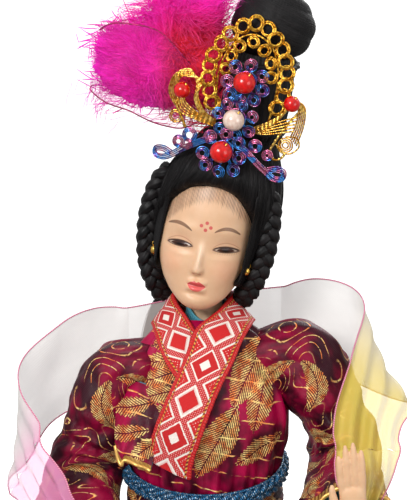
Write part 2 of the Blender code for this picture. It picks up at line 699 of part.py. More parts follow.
def make_arm(side, arm):
    upper, fore, hinge = arm_axes(arm)
    outward = Vector((math.copysign(1, arm["shoulder"].x), 0, 0))
    elbow = arm["elbow"]

    limb = bar(f"{side}_upper_arm", arm["shoulder"] + upper * 1.5, elbow, ARM_RADIUS, "wood")
    stub = bar(f"{side}_stub", arm["shoulder"] - outward * 9, arm["shoulder"] + outward * 0.5, 2.5, "wood")
    knob = ball(f"{side}_knob", 2.9, "wood", Matrix.Translation(arm["shoulder"]), 12, 8)
    barrel = bar(f"{side}_barrel", elbow - hinge * 3.2, elbow + hinge * 3.2, 3.0, "wood")
    join(limb, stub, knob, barrel)
    from_elbow = along(elbow, -upper, hinge)
    for sign, word in ((1, "a"), (-1, "b")):
        near, far = sorted((sign * TONGUE, sign * 6.0))
        cut(limb, box(f"{side}_cheek_room_{word}", (near, -7, -4.6), (far, 7, 7), from_elbow))
    cut(limb, bar(f"{side}_pin_room", elbow - hinge * 8, elbow + hinge * 8, PIN_RADIUS + 0.3, "steel", 12))

    end = arm["wrist"] - fore * 7.0
    lower = bar(f"{side}_forearm", elbow, end, 2.7, "wood")
    hub = bar(f"{side}_hub", elbow - hinge * 3.0, elbow + hinge * 3.0, 3.1, "wood")
    join(lower, hub)
    slot = box(f"{side}_slot", (-TONGUE - 0.4, -8, -8), (TONGUE + 0.4, 8, 4.0), along(elbow, fore, hinge))
    cut(lower, slot)
    cut(lower, bar(f"{side}_pin_hole", elbow - hinge * 8, elbow + hinge * 8, PIN_RADIUS + 0.3, "steel", 12))
    cut(lower, bar(f"{side}_peg_bore", end - fore * 9, end + fore * 3, WRIST_PEG + 0.35, "steel", 12))
    bar(f"{side}_elbow_pin", elbow - hinge * 3.0, elbow + hinge * 3.0, PIN_RADIUS, "steel", 12)
    make_hand(side, arm, fore, end)


def make_hand(side, arm, fore, end):
    """The palm and fingers point along the arm's own finger direction; a peg runs back into the forearm."""
    sign = math.copysign(1, arm["shoulder"].x)
    place = along(arm["wrist"], arm["fingers"], Vector((1, 0, 0)))
    palm = ball(f"{side}_hand", 1.0, "skin", place @ at(0, 0, 5.2), 12, 8, (3.6, 1.8, 6.4))
    peg = bar(f"{side}_peg", end - fore * 8, arm["wrist"] + fore * 0.5, WRIST_PEG, "skin", 10)
    wrist = bar(f"{side}_wrist", end + fore * 0.6, arm["wrist"] + fore * 1.0, 2.1, "skin", 12)
    parts = [peg, wrist]
    fingers = [(-2.6, 9.2), (-0.9, 10.8), (0.85, 10.2), (2.5, 8.2)]
    for k, (x, length) in enumerate(fingers):
        x *= -sign
        path = [Vector((x * 0.9, 0, 7.0)), Vector((x, -0.1, 9.0 + length * 0.5)), Vector((x * 1.05, 0.2, 9.8 + length))]
        parts.append(tube(f"{side}_finger_{k}", path, [1.1, 0.95, 0.55], 7, "skin", place))
    inner = -sign
    path = [Vector((inner * 1.8, -0.4, 2.6)), Vector((inner * 4.6, -1.0, 6.4)), Vector((inner * 5.4, -1.2, 11.2))]
    parts.append(tube(f"{side}_thumb", path, [1.4, 1.1, 0.6], 7, "skin", place))
    join(palm, *parts)


# Sleeves: centre, facing direction, half width, half height, drop and bore radius of each ring, for the left arm.
UPPER_SLEEVE = {
    "left": [
        ((21.9, 1, 202.4), (1, 0, 0), 8.4, 8.2, 0, 6.4),
        ((25.6, 1, 200.2), (0.85, 0, -0.5), 8.8, 8.0, 0, 5.8),
        ((30.2, 1.6, 193.4), (0.6, 0, -0.8), 9.4, 7.8, 0, 5.2),
        ((36.4, 2.4, 184.4), (0.5, 0.05, -0.85), 9.8, 8.0, 0, 4.9),
        ((39.6, 3.0, 178.6), (0.5, 0.05, -0.85), 9.8, 8.0, 0, 4.9),
    ],
    "right": [
        ((-22.2, 1, 200.6), (-1, 0, 0), 8.4, 8.2, 0, 6.6),
        ((-26.2, 1, 198.4), (-0.9, 0, -0.42), 8.8, 7.8, 0, 5.9),
        ((-30.0, 1.6, 190.2), (-0.45, 0, -0.88), 9.6, 7.9, 0, 5.7),
        ((-33.8, 2.4, 180.6), (-0.42, 0.05, -0.9), 10.0, 8.0, 0, 5.4),
        ((-35.6, 3.0, 174.8), (-0.42, 0.05, -0.9), 10.0, 8.0, 0, 4.9),
    ],
}
LOWER_SLEEVE = {
    "left": [
        ((40.6, -6.4, 167.0), (0, -1, -0.25), 8.0, 5.6, 6, 4.6),
        ((40.4, -12, 165.4), (0, -1, -0.22), 11.0, 7.0, 12, 4.6),
        ((40.2, -19, 163.6), (0, -1, -0.15), 13.0, 7.8, 20, 5.0),
        ((40.2, -25, 162.0), (0, -1, -0.05), 14.0, 8.2, 25, 5.6),
    ],
    "right": [
        ((-35.4, -5.6, 161.2), (0, -1, -0.45), 8.0, 5.6, 6, 4.6),
        ((-35.0, -10.5, 158.8), (0, -1, -0.4), 10.5, 7.0, 11, 4.6),
        ((-34.6, -15.5, 156.2), (0, -1, -0.3), 12.0, 7.8, 17, 5.0),
        ((-34.2, -20, 153.6), (0, -1, -0.2), 13.0, 8.2, 21, 5.6),
    ],
}


def make_sleeve(name, rows, count, limb_start, limb_end):
    """A cloth sleeve whose bore runs half way between its own middle and the limb inside it."""
    limb = limb_end - limb_start
    outer, inner = [], []
    for centre, facing, wide, tall, drop, bore in rows:
        outer.append(hoop(centre, facing, wide, tall, count, drop))
        share = (Vector(centre) - limb_start).dot(limb) / limb.length_squared
        middle = (limb_start + limb * share + Vector(centre)) / 2
        inner.append(hoop(middle, facing, bore, bore, count))
    wall(name, outer, inner, "brocade")


# ---- Shawl: centre of each row, the direction across the ribbon, and the share of its full width ----
UP = (0, 0, 1)
SHAWL = {
    "shawl_back": [
        ((-20, 20.0, 202.5), (0, 0.05, 1), 1.0),
        ((-10, 21.8, 204.0), (0, 0.02, 1), 1.0),
        ((0, 22.4, 204.8), (0, 0, 1), 1.0),
        ((10, 21.8, 205.2), (0, 0.02, 1), 1.0),
        ((20, 20.0, 204.6), (0, 0.05, 1), 1.0),
    ],
    "left_shawl_loop": [
        ((20.8, 19.8, 204.6), (0, 0.05, 1), 1.0),
        ((31, 18.0, 205.0), (-0.02, 0.1, 1), 1.0),
        ((42, 13.0, 203.6), (-0.05, 0.15, 1), 1.0),
        ((50, 4.0, 199.0), (-0.15, 0.1, 1), 0.95),
        ((54, -7.0, 191.0), (-0.45, -0.1, 0.9), 0.85),
        ((52.5, -16, 184.0), (-0.7, -0.2, 0.7), 0.65),
        ((49.5, -22, 179.0), (-0.8, -0.2, 0.5), 0.45),
    ],
    "left_shawl_end": [
        ((49.0, -22.8, 178.2), (-0.8, -0.2, 0.5), 0.43),
        ((46.4, -27.8, 172.6), (-0.5, -0.5, 0.6), 0.18),
        ((41.0, -29.0, 168.0), (0, -1, 0.2), 0.1),
        ((36.0, -29.4, 166.2), (0.1, -0.9, 0.3), 0.12),
        ((30.6, -30.4, 160.0), (0.4, -0.6, 0.6), 0.28),
        ((27.0, -33.0, 153.0), (0.75, -0.1, 0.6), 0.6),
        ((22.0, -35.0, 138.0), (0.95, 0.05, 0.2), 0.7),
        ((20.5, -37.0, 118.0), (1, 0.05, 0.05), 0.7),
        ((20.0, -40.0, 98.0), (1, 0.05, 0), 0.7),
    ],
    "right_shawl_loop": [
        ((-20.8, 19.8, 202.4), (0, 0.05, 1), 1.0),
        ((-32, 18.0, 201.0), (0.02, 0.1, 1), 1.0),
        ((-43, 13.0, 197.6), (0.05, 0.15, 1), 1.0),
        ((-51.5, 4.0, 191.0), (0.1, 0.1, 1), 0.95),
        ((-54, -7.0, 181.0), (0.1, -0.3, 1), 0.8),
        ((-50.5, -16.5, 172.0), (0.35, -0.5, 0.8), 0.6),
    ],
    "right_shawl_end": [
        ((-49.8, -17.4, 171.2), (0.35, -0.5, 0.8), 0.58),
        ((-43.5, -23.6, 165.0), (0.5, -0.4, 0.7), 0.5),
        ((-36.5, -24.4, 161.6), (0.3, -0.6, 0.8), 0.24),
        ((-27.0, -26.6, 155.0), (0.6, -0.3, 0.7), 0.3),
        ((-19.0, -29.5, 140.0), (0.95, 0.05, 0.3), 0.5),
        ((-19.5, -35.0, 118.0), (1, -0.05, 0.05), 0.7),
        ((-19.5, -39.0, 98.0), (1, -0.05, 0), 0.7),
    ],
}


def make_shawl(name, rows):
    halves = [Vector(across).normalized() * SHAWL_WIDTH / 2 * share for _, across, share in rows]
    low = smooth_path([Vector(c) - half for (c, _, _), half in zip(rows, halves)], 5)
    high = smooth_path([Vector(c) + half for (c, _, _), half in zip(rows, halves)], 5)
    strip(name, [low, high], SHAWL_THICKNESS, "organza")


def main():
    clear_scene()
    make_stand()
    make_torso()
    robe = make_robe()
    make_collar("collar_over", COLLAR_OVER, robe, 2.9)
    make_collar("collar_under", COLLAR_UNDER, robe, 1.2)
    make_inner_collar()
    make_neck()
    make_head()
    make_hair()
    make_headdress()
    make_plumes()
    for side, arm in ARMS.items():
        make_arm(side, arm)
        make_sleeve(f"{side}_upper_sleeve", UPPER_SLEEVE[side], 14, arm["shoulder"], arm["elbow"])
        make_sleeve(f"{side}_lower_sleeve", LOWER_SLEEVE[side], 16, arm["elbow"], arm["wrist"])
    for name, rows in SHAWL.items():
        make_shawl(name, rows)


main()
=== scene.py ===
"""The costumed court-lady puppet as a picture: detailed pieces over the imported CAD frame.

Points are in millimetres and become metres when a mesh is made.
"""

import math

import bpy
import numpy as np
from mathutils import Matrix, Vector


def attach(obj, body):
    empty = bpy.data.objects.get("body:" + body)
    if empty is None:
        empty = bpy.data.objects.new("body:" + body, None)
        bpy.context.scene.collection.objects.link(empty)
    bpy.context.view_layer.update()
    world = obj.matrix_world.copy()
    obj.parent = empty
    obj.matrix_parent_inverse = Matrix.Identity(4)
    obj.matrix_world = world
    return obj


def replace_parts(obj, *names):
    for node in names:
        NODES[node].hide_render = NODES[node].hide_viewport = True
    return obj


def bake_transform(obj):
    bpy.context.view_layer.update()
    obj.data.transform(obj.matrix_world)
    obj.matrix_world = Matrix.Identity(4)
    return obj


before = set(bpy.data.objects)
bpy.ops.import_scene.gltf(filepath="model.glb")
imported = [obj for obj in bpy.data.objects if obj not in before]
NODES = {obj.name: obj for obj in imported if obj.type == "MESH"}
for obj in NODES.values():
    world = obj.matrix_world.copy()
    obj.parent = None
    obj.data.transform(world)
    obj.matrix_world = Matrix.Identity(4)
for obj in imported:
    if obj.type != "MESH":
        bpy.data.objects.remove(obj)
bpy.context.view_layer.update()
MM = 0.001
TAU = 2 * math.pi
rng = np.random.default_rng(7)


# ---- Colours ----
def rgb(r, g, b):
    """Linear colour from 0-255 display values."""
    out = []
    for c in (r, g, b):
        c /= 255
        out.append(c / 12.92 if c <= 0.04045 else ((c + 0.055) / 1.055) ** 2.4)
    return (*out, 1.0)


# ---- Materials: shader trees written as arithmetic ----
class Wire:
    """One number in a shader tree, which adds, multiplies and so on by making Math nodes."""

    def __init__(self, paint, socket):
        self.paint, self.socket = paint, socket

    def _do(self, op, *others, clamp=False):
        return self.paint.math(op, self, *others, clamp=clamp)

    def __add__(self, o):
        return self._do("ADD", o)

    __radd__ = __add__

    def __sub__(self, o):
        return self._do("SUBTRACT", o)

    def __rsub__(self, o):
        return self.paint.math("SUBTRACT", o, self)

    def __mul__(self, o):
        return self._do("MULTIPLY", o)

    __rmul__ = __mul__

    def __truediv__(self, o):
        return self._do("DIVIDE", o)

    def __neg__(self):
        return self * -1.0

    def abs(self):
        return self._do("ABSOLUTE")

    def sin(self):
        return self._do("SINE")

    def cos(self):
        return self._do("COSINE")

    def sqrt(self):
        return self._do("SQRT")

    def pow(self, o):
        return self._do("POWER", o)

    def wrap(self, size):
        """The remainder, always from 0 to size."""
        return self._do("FLOORED_MODULO", size)

    def floor(self):
        return self._do("FLOOR")

    def min(self, o):
        return self._do("MINIMUM", o)

    def max(self, o):
        return self._do("MAXIMUM", o)

    def step(self, low, high):
        """0 below low and 1 above high, smooth between. low may be above high."""
        if low > high:
            return 1.0 - self.step(high, low)
        n = self.paint.node("ShaderNodeMapRange")
        n.interpolation_type = "SMOOTHSTEP"
        self.paint.link(self, n.inputs["Value"])
        n.inputs["From Min"].default_value = low
        n.inputs["From Max"].default_value = high
        return Wire(self.paint, n.outputs["Result"])

    def band(self, low, high, soft):
        return self.step(low - soft, low + soft) * self.step(high + soft, high - soft)


class Paint:
    def __init__(self, name, base, rough=0.5, metal=0.0, sheen=0.0, coat=0.0, specular=0.5):
        self.material = bpy.data.materials.new(name)
        self.material.use_nodes = True
        self.tree = self.material.node_tree
        self.shader = self.tree.nodes["Principled BSDF"]
        self.set("Base Color", base)
        self.set("Roughness", rough)
        self.set("Metallic", metal)
        self.set("Specular IOR Level", specular)
        if sheen:
            self.set("Sheen Weight", sheen)
            self.set("Sheen Roughness", 0.4)
        if coat:
            self.set("Coat Weight", coat)
            self.set("Coat Roughness", 0.06)

    def node(self, kind):
        return self.tree.nodes.new(kind)

    def link(self, value, socket):
        if isinstance(value, Wire):
            self.tree.links.new(value.socket, socket)
        elif isinstance(value, bpy.types.NodeSocket):
            self.tree.links.new(value, socket)
        else:
            socket.default_value = value

    def set(self, name, value):
        self.link(value, self.shader.inputs[name])
        return self

    def math(self, op, *values, clamp=False):
        n = self.node("ShaderNodeMath")
        n.operation = op
        n.use_clamp = clamp
        for socket, value in zip(n.inputs, values):
            self.link(value, socket)
        return Wire(self, n.outputs[0])

    def split(self, vector):
        n = self.node("ShaderNodeSeparateXYZ")
        self.tree.links.new(vector, n.inputs[0])
        return [Wire(self, o) for o in n.outputs]

    def join(self, x, y, z):
        n = self.node("ShaderNodeCombineXYZ")
        for socket, value in zip(n.inputs, (x, y, z)):
            self.link(value, socket)
        return n.outputs[0]

    def uv(self):
        """Millimetres across and along the piece."""
        n = self.node("ShaderNodeUVMap")
        n.uv_map = "UVMap"
        return self.split(n.outputs[0])[:2]

    def place(self):
        """Millimetres in the row frame."""
        n = self.node("ShaderNodeTexCoord")
        return [w * 1000.0 for w in self.split(n.outputs["Object"])]

    def noise(self, x, y, z, detail=3.0, rough=0.55):
        n = self.node("ShaderNodeTexNoise")
        n.inputs["Scale"].default_value = 1.0
        n.inputs["Detail"].default_value = detail
        n.inputs["Roughness"].default_value = rough
        self.tree.links.new(self.join(x, y, z), n.inputs["Vector"])
        return Wire(self, n.outputs["Fac"])

    def cells(self, x, y, z=0.0, jitter=1.0, out="Distance"):
        n = self.node("ShaderNodeTexVoronoi")
        n.inputs["Scale"].default_value = 1.0
        n.inputs["Randomness"].default_value = jitter
        self.tree.links.new(self.join(x, y, z), n.inputs["Vector"])
        return Wire(self, n.outputs[out])

    def mix(self, amount, a, b):
        n = self.node("ShaderNodeMix")
        n.data_type = "RGBA"
        self.link(amount, n.inputs["Factor"])
        self.link(a, n.inputs["A"])
        self.link(b, n.inputs["B"])
        return n.outputs["Result"]

    def bump(self, height, depth_mm, strength=1.0):
        n = self.node("ShaderNodeBump")
        n.inputs["Strength"].default_value = strength
        n.inputs["Distance"].default_value = depth_mm * MM
        self.link(height, n.inputs["Height"])
        self.tree.links.new(n.outputs["Normal"], self.shader.inputs["Normal"])
        return self


# ---- Meshes ----
def ease(x, low, high):
    t = np.clip((np.asarray(x, float) - low) / (high - low), 0, 1)
    return t * t * (3 - 2 * t)


def spline(points, count):
    """Evenly spaced points on a smooth curve through the given ones, as an array."""
    p = np.array([tuple(q) for q in points], float)
    ends = np.vstack([2 * p[0] - p[1], p, 2 * p[-1] - p[-2]])
    fine = []
    for k in range(1, len(ends) - 2):
        a, b, c, d = ends[k - 1 : k + 3]
        t = np.linspace(0, 1, 24, endpoint=False)[:, None]
        square, cube = 2 * a - 5 * b + 4 * c - d, 3 * b - a - 3 * c + d
        fine.append(0.5 * (2 * b + (c - a) * t + square * t**2 + cube * t**3))
    fine = np.vstack([*fine, p[-1:]])
    length = np.concatenate([[0], np.cumsum(np.linalg.norm(np.diff(fine[:, :3], axis=0), axis=1))])
    at = np.linspace(0, length[-1], count)
    return np.stack([np.interp(at, length, fine[:, k]) for k in range(p.shape[1])], axis=1)


def circle(count):
    """Angles of evenly spaced points round a circle."""
    return TAU * np.arange(count) / count


def uv_grid(across, along):
    """Texture positions in mm for a grid with these positions across and along it."""
    return np.stack(np.meshgrid(across, along), -1)


def outward(p):
    """Level directions away from the figure's upright axis."""
    return unit(np.concatenate([p[..., :2], 0 * p[..., :1]], -1))


def run_length(path):
    return np.concatenate([[0], np.cumsum(np.linalg.norm(np.diff(path, axis=0), axis=1))])


def unit(v):
    return v / np.maximum(np.linalg.norm(v, axis=-1, keepdims=True), 1e-9)


def frames(path, first=(1, 0, 0), closed=False):
    """Direction, across and deep at each point of a path, without twist."""
    if closed:
        ahead = unit(np.roll(path, -1, axis=0) - np.roll(path, 1, axis=0))
    else:
        ahead = unit(np.gradient(path, axis=0))
    across = np.zeros_like(path)
    a = np.array(first, float)
    for k, d in enumerate(ahead):
        a = a - d * (a @ d)
        if np.linalg.norm(a) < 1e-4:
            a = np.cross(d, [0.3, 0.5, 0.8])
        a = a / np.linalg.norm(a)
        across[k] = a
    return ahead, across, np.cross(ahead, across)


def hash_noise(x, y, seed=0):
    """Smooth noise from -1 to 1 on a unit lattice."""
    xi, yi = np.floor(x), np.floor(y)
    fx, fy = x - xi, y - yi
    fx, fy = fx * fx * (3 - 2 * fx), fy * fy * (3 - 2 * fy)

    def corner(i, j):
        n = np.sin(i * 127.1 + j * 311.7 + seed * 74.7) * 43758.5453
        return (n - np.floor(n)) * 2 - 1

    low = corner(xi, yi) * (1 - fx) + corner(xi + 1, yi) * fx
    high = corner(xi, yi + 1) * (1 - fx) + corner(xi + 1, yi + 1) * fx
    return low * (1 - fy) + high * fy


class Build:
    """Gathers grids and tubes into one mesh, in millimetres."""

    def __init__(self):
        self.points, self.faces, self.uvs, self.slots, self.count = [], [], [], [], 0

    def grid(self, p, uv=None, wrap=(False, False), slot=0, flip=False):
        p = np.asarray(p, float)
        n, m = p.shape[:2]
        if uv is None:
            i, j = np.meshgrid(np.arange(n + wrap[0]), np.arange(m + wrap[1]), indexing="ij")
            uv = np.stack([i, j], -1).astype(float)
        i = np.arange(n if wrap[0] else n - 1)[:, None]
        j = np.arange(m if wrap[1] else m - 1)[None, :]
        i1, j1 = (i + 1) % n, (j + 1) % m
        quad = np.stack([i * m + j, i1 * m + j, i1 * m + j1, i * m + j1], -1).reshape(-1, 4) + self.count
        ui, uj = i + 0 * j, j + 0 * i
        corners = np.stack([uv[ui, uj], uv[ui + 1, uj], uv[ui + 1, uj + 1], uv[ui, uj + 1]], 2)
        corners = corners.reshape(-1, 4, 2)
        if flip:
            quad, corners = quad[:, ::-1], corners[:, ::-1]
        self.points.append(p.reshape(-1, 3))
        self.faces.append(quad)
        self.uvs.append(corners)
        self.slots.append(np.full(len(quad), slot))
        self.count += n * m
        return self

    def tube(self, path, radius, sides=8, closed=False, slot=0, flat=1.0, first=(1, 0, 0), ridges=0,
             depth=0.0,
             turns=0.0, cap=True):
        """A round bar with a radius in mm, or one for each point. ridges and turns give it twisted plies."""
        path = np.asarray(path, float)
        count = len(path)
        radius = np.broadcast_to(np.asarray(radius, float), (count,))
        _, across, deep = frames(path, first, closed)
        angle = circle(sides)
        length = run_length(path)
        wave = 1 + depth * np.cos(ridges * angle[None, :] - turns * length[:, None]) if ridges else 1.0
        r = radius[:, None] * wave * np.ones((count, sides))
        p = (
            path[:, None]
            + across[:, None] * (r * np.cos(angle))[..., None]
            + deep[:, None] * (r * np.sin(angle) * flat)[..., None]
        )
        rows = count + closed
        total = length[-1] + (np.linalg.norm(path[0] - path[-1]) if closed else 0)
        along = np.concatenate([length, [total]])[:rows]
        uv = np.stack(np.broadcast_arrays((np.arange(sides + 1) / sides)[None, :], along[:, None]), -1)
        if cap and not closed:
            p = np.concatenate([np.repeat(path[:1, None], sides, 1) * 0.995 + p[:1] * 0.005, p,
                                np.repeat(path[-1:, None], sides, 1) * 0.995 + p[-1:] * 0.005])
            uv = np.concatenate([uv[:1], uv, uv[-1:]])
        return self.grid(p, uv, (closed, True), slot)

    def strands(self, paths, radius, sides=3, slot=0):
        """Many thin hairs at once: paths is (hairs, points, 3)."""
        paths = np.asarray(paths, float)
        hairs, count = paths.shape[:2]
        ahead = unit(np.gradient(paths, axis=1))
        other = np.array([0.31, 0.52, 0.79])
        across = unit(np.cross(ahead, other))
        deep = np.cross(ahead, across)
        taper = np.sin(np.linspace(0.12, math.pi - 0.05, count)) ** 0.5
        r = (np.broadcast_to(np.asarray(radius, float), (hairs,))[:, None] * taper)[..., None]
        rings = [paths + r * (across * math.cos(TAU * s / sides) + deep * math.sin(TAU * s / sides))
                 for s in range(sides)]
        p = np.stack(rings, 2)
        i = np.arange(hairs)[:, None, None] * count * sides
        k = np.arange(count - 1)[None, :, None] * sides
        s = np.arange(sides)[None, None, :]
        s1 = (s + 1) % sides
        quad = (np.stack([i + k + s, i + k + s1, i + k + sides + s1, i + k + sides + s], -1).reshape(-1, 4)
                + self.count)
        along = np.linspace(0, 1, count)
        tag = rng.random(hairs)
        a = np.broadcast_to(tag[:, None, None] * 100, (hairs, count - 1, sides))
        b = np.broadcast_to(along[None, :-1, None], (hairs, count - 1, sides))
        c = np.broadcast_to(along[None, 1:, None], (hairs, count - 1, sides))
        uv = np.stack([np.stack([a, b], -1), np.stack([a, b], -1), np.stack([a, c], -1),
                       np.stack([a, c], -1)], 3)
        self.points.append(p.reshape(-1, 3))
        self.faces.append(quad)
        self.uvs.append(uv.reshape(-1, 4, 2))
        self.slots.append(np.full(len(quad), slot))
        self.count += p.reshape(-1, 3).shape[0]
        return self

    def make(self, name, paints, body=None, slot=None, smooth=True):
        points = np.concatenate(self.points) * MM
        faces = np.concatenate(self.faces)
        uvs = np.concatenate(self.uvs)
        slots = np.concatenate(self.slots)
        mesh = bpy.data.meshes.new(name)
        mesh.vertices.add(len(points))
        mesh.vertices.foreach_set("co", points.ravel())
        mesh.loops.add(len(faces) * 4)
        mesh.loops.foreach_set("vertex_index", faces.ravel().astype(np.int32))
        mesh.polygons.add(len(faces))
        mesh.polygons.foreach_set("loop_start", np.arange(0, len(faces) * 4, 4, dtype=np.int32))
        mesh.polygons.foreach_set("material_index", slots.astype(np.int32))
        mesh.update(calc_edges=True)
        layer = mesh.uv_layers.new(name="UVMap")
        layer.data.foreach_set("uv", uvs.reshape(-1, 2).ravel())
        if smooth:
            mesh.shade_smooth()
        for paint in paints if isinstance(paints, (list, tuple)) else [paints]:
            mesh.materials.append(paint.material)
        obj = bpy.data.objects.new(name, mesh)
        bpy.context.scene.collection.objects.link(obj)
        if body:
            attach(obj, body)
        return obj


def lathe(profile, count=48, centre=(0, 0, 0)):
    """Grid points of a turned shape from (radius, z) pairs."""
    profile = np.array(profile, float)
    angle = circle(count)
    p = np.zeros((len(profile), count, 3))
    p[..., 0] = profile[:, :1] * np.cos(angle) + centre[0]
    p[..., 1] = profile[:, :1] * np.sin(angle) + centre[1]
    p[..., 2] = profile[:, 1:] + centre[2]
    return p


def placed(p, matrix):
    """Points of a local frame in the row frame, in mm."""
    m = np.array(matrix)
    return np.asarray(p) @ m[:3, :3].T + m[:3, 3]


# ---- The head's own frame, as the CAD has it ----
NECK_PIVOT = Vector((0.6, 4.0, 223.0))
HEAD = (
    Matrix.Translation(NECK_PIVOT)
    @ Matrix.Rotation(math.radians(-11.0), 4, "Z")
    @ Matrix.Rotation(math.radians(11.5), 4, "Y")
    @ Matrix.Rotation(math.radians(5.0), 4, "X")
)


def on_head(p):
    return placed(p, HEAD)


# ---- Camera, light and floor ----
def make_stage():
    camera = bpy.data.cameras.new("camera")
    camera.lens = 171.6
    camera.sensor_fit = "VERTICAL"
    camera.sensor_height = 36
    camera.clip_start = 0.01
    camera.clip_end = 50
    obj = bpy.data.objects.new("camera", camera)
    bpy.context.scene.collection.objects.link(obj)
    target = Vector((-0.4, 0, 229.6)) * MM
    lift = math.radians(8)
    obj.location = target + Vector((0, -math.cos(lift), math.sin(lift))) * 0.65
    obj.rotation_euler = (target - obj.location).to_track_quat("-Z", "Y").to_euler()
    bpy.context.scene.camera = obj
    bpy.context.scene.view_settings.view_transform = "Standard"

    world = bpy.data.worlds.new("studio")
    bpy.context.scene.world = world
    world.use_nodes = True
    nodes, links = world.node_tree.nodes, world.node_tree.links
    where = nodes.new("ShaderNodeTexCoord")
    split = nodes.new("ShaderNodeSeparateXYZ")
    ramp = nodes.new("ShaderNodeMapRange")
    ramp.inputs["From Min"].default_value = -0.6
    ramp.inputs["From Max"].default_value = 0.9
    ramp.inputs["To Min"].default_value = 0.3
    ramp.inputs["To Max"].default_value = 0.9
    links.new(where.outputs["Generated"], split.inputs[0])
    links.new(split.outputs["Z"], ramp.inputs["Value"])
    links.new(ramp.outputs["Result"], nodes["Background"].inputs["Strength"])
    nodes["Background"].inputs["Color"].default_value = (1, 1, 1, 1)

    def area(name, place, size, power, aim=(0, 0, 0.19)):
        light = bpy.data.lights.new(name, "AREA")
        light.shape = "RECTANGLE"
        light.size, light.size_y = size
        light.energy = power
        lamp = bpy.data.objects.new(name, light)
        bpy.context.scene.collection.objects.link(lamp)
        lamp.location = place
        lamp.rotation_euler = (Vector(aim) - Vector(place)).to_track_quat("-Z", "Y").to_euler()

    area("key", (-0.42, -0.75, 0.62), (0.3, 0.3), 6.5)
    area("fill", (0.7, -0.7, 0.3), (0.5, 0.5), 2.3)
    area("rim", (0.3, 0.75, 0.6), (0.4, 0.4), 2.5)

    floor = Paint("floor_white", (0.9, 0.9, 0.9, 1), 0.8, specular=0.2)
    x, y, _ = floor.place()
    grain = floor.noise(x * 0.02, y * 0.02, 0.0, 4.0)
    floor.set("Base Color", floor.mix(grain, (0.92, 0.92, 0.92, 1), (0.88, 0.88, 0.88, 1)))
    floor.set("Emission Color", (1, 1, 1, 1))
    floor.set("Emission Strength", 0.55)
    angle = circle(96)
    radii = np.array([0.0001, 60, 200, 600, 2000, 8000, 16000, 20000])
    rise = np.array([0, 0, 0, 0, 0, 0, 3000, 14000])
    p = np.zeros((len(radii), 96, 3))
    p[..., 0] = radii[:, None] * np.cos(angle)
    p[..., 1] = radii[:, None] * np.sin(angle)
    p[..., 2] = rise[:, None] - 0.02
    ground = Build().grid(p, wrap=(False, True)).make("floor", floor)
    ground.visible_diffuse = False
    ground.visible_glossy = False


make_stage()


# ---- Finishes ----
def hair_paint(name="hair_lacquered", tint=(30, 24, 25)):
    p = Paint(name, rgb(*tint), 0.55, specular=0.28)
    u, v = p.uv()
    fine = p.noise(u * 5.0, v * 0.12, 0.0, 3.0)
    broad = p.noise(u * 0.9, v * 0.05, 4.0, 2.0)
    p.set("Base Color", p.mix(fine.step(0.35, 0.75) * 0.8, rgb(5, 4, 5), rgb(30, 25, 26)))
    p.set("Roughness", 0.42 + 0.25 * fine)
    return p.bump(fine + broad * 0.8, 0.26)


def skin_paint(name, tint=(226, 186, 150)):
    p = Paint(name, rgb(*tint), 0.42, specular=0.45)
    x, y, z = p.place()
    mottle = p.noise(x * 0.22, y * 0.22, z * 0.22, 4.0)
    pores = p.noise(x * 3.2, y * 3.2, z * 3.2, 3.0)
    p.set("Base Color", p.mix(mottle, rgb(tint[0] - 10, tint[1] - 14, tint[2] - 14),
                              rgb(tint[0] + 9, tint[1] + 11, tint[2] + 13)))
    p.set("Subsurface Weight", 0.12)
    p.shader.inputs["Subsurface Radius"].default_value = (1.0, 0.45, 0.25)
    p.set("Subsurface Scale", 0.0015)
    return p.bump(pores, 0.02)


def metal_paint(name, dark, light, rough=0.28, metal=0.9):
    p = Paint(name, rgb(*light), rough, metal)
    u, v = p.uv()
    x, y, z = p.place()
    worn = p.noise(x * 0.7, y * 0.7, z * 0.7, 4.0)
    ply = ((v * 5.2 + u * 6.283) * 1.0).sin() * 0.5 + 0.5
    p.set("Base Color", p.mix(worn.step(0.35, 0.7), rgb(*dark), rgb(*light)))
    p.set("Roughness", rough + 0.18 * worn)
    return p.bump(ply + worn, 0.06)


def iris_paint():
    """Wire with an oil-on-water film of blue and violet, with pink patches and pale sparkles painted on as
    highlights.
    """
    p = Paint("iridescent_wire", rgb(90, 80, 190), 0.24, 0.95)
    x, y, z = p.place()
    film = p.noise(x * 0.33, y * 0.33, z * 0.33, 1.0)
    painted_sparkle = p.noise(x * 2.4, y * 2.4, z * 2.4, 2.0)
    blue = p.mix(film.step(0.42, 0.48), rgb(70, 150, 226), rgb(104, 66, 150))
    # Pink patches over the blue and violet are painted highlights.
    pink = p.mix(film.step(0.51, 0.57), blue, rgb(206, 112, 150))
    # Pale sparkles are painted glints.
    p.set("Base Color", p.mix(painted_sparkle.step(0.56, 0.68) * 0.8, pink, rgb(196, 206, 240)))
    return p.bump(painted_sparkle, 0.03)


def bead_paint(name, tint, deep, rough=0.12, coat=0.6):
    p = Paint(name, rgb(*tint), rough, coat=coat)
    x, y, z = p.place()
    swirl = p.noise(x * 0.8, y * 0.8, z * 0.8, 3.0)
    p.set("Base Color", p.mix(swirl.step(0.3, 0.75), rgb(*deep), rgb(*tint)))
    p.set("Roughness", rough + 0.08 * swirl)
    return p.bump(swirl, 0.03)


def barbs(p, a, side, half, pitch):
    """Masks of a leaf's slanted threads, broken along their length, and of its inside."""
    edge = half - side
    inside = edge.step(-0.05, 0.15)
    thread = ((a + side * 1.15).wrap(pitch) * (1 / pitch)).band(0.12, 0.68, 0.08)
    rows = (side * 1.9).wrap(1.0).step(0.02, 0.2)
    broken = p.noise(a * 1.1, side * 0.7, 6.0, 2.0).step(0.4, 0.5)
    return inside * thread * rows * (0.62 + broken * 0.38) * (side - 0.12).step(0.0, 0.12), inside


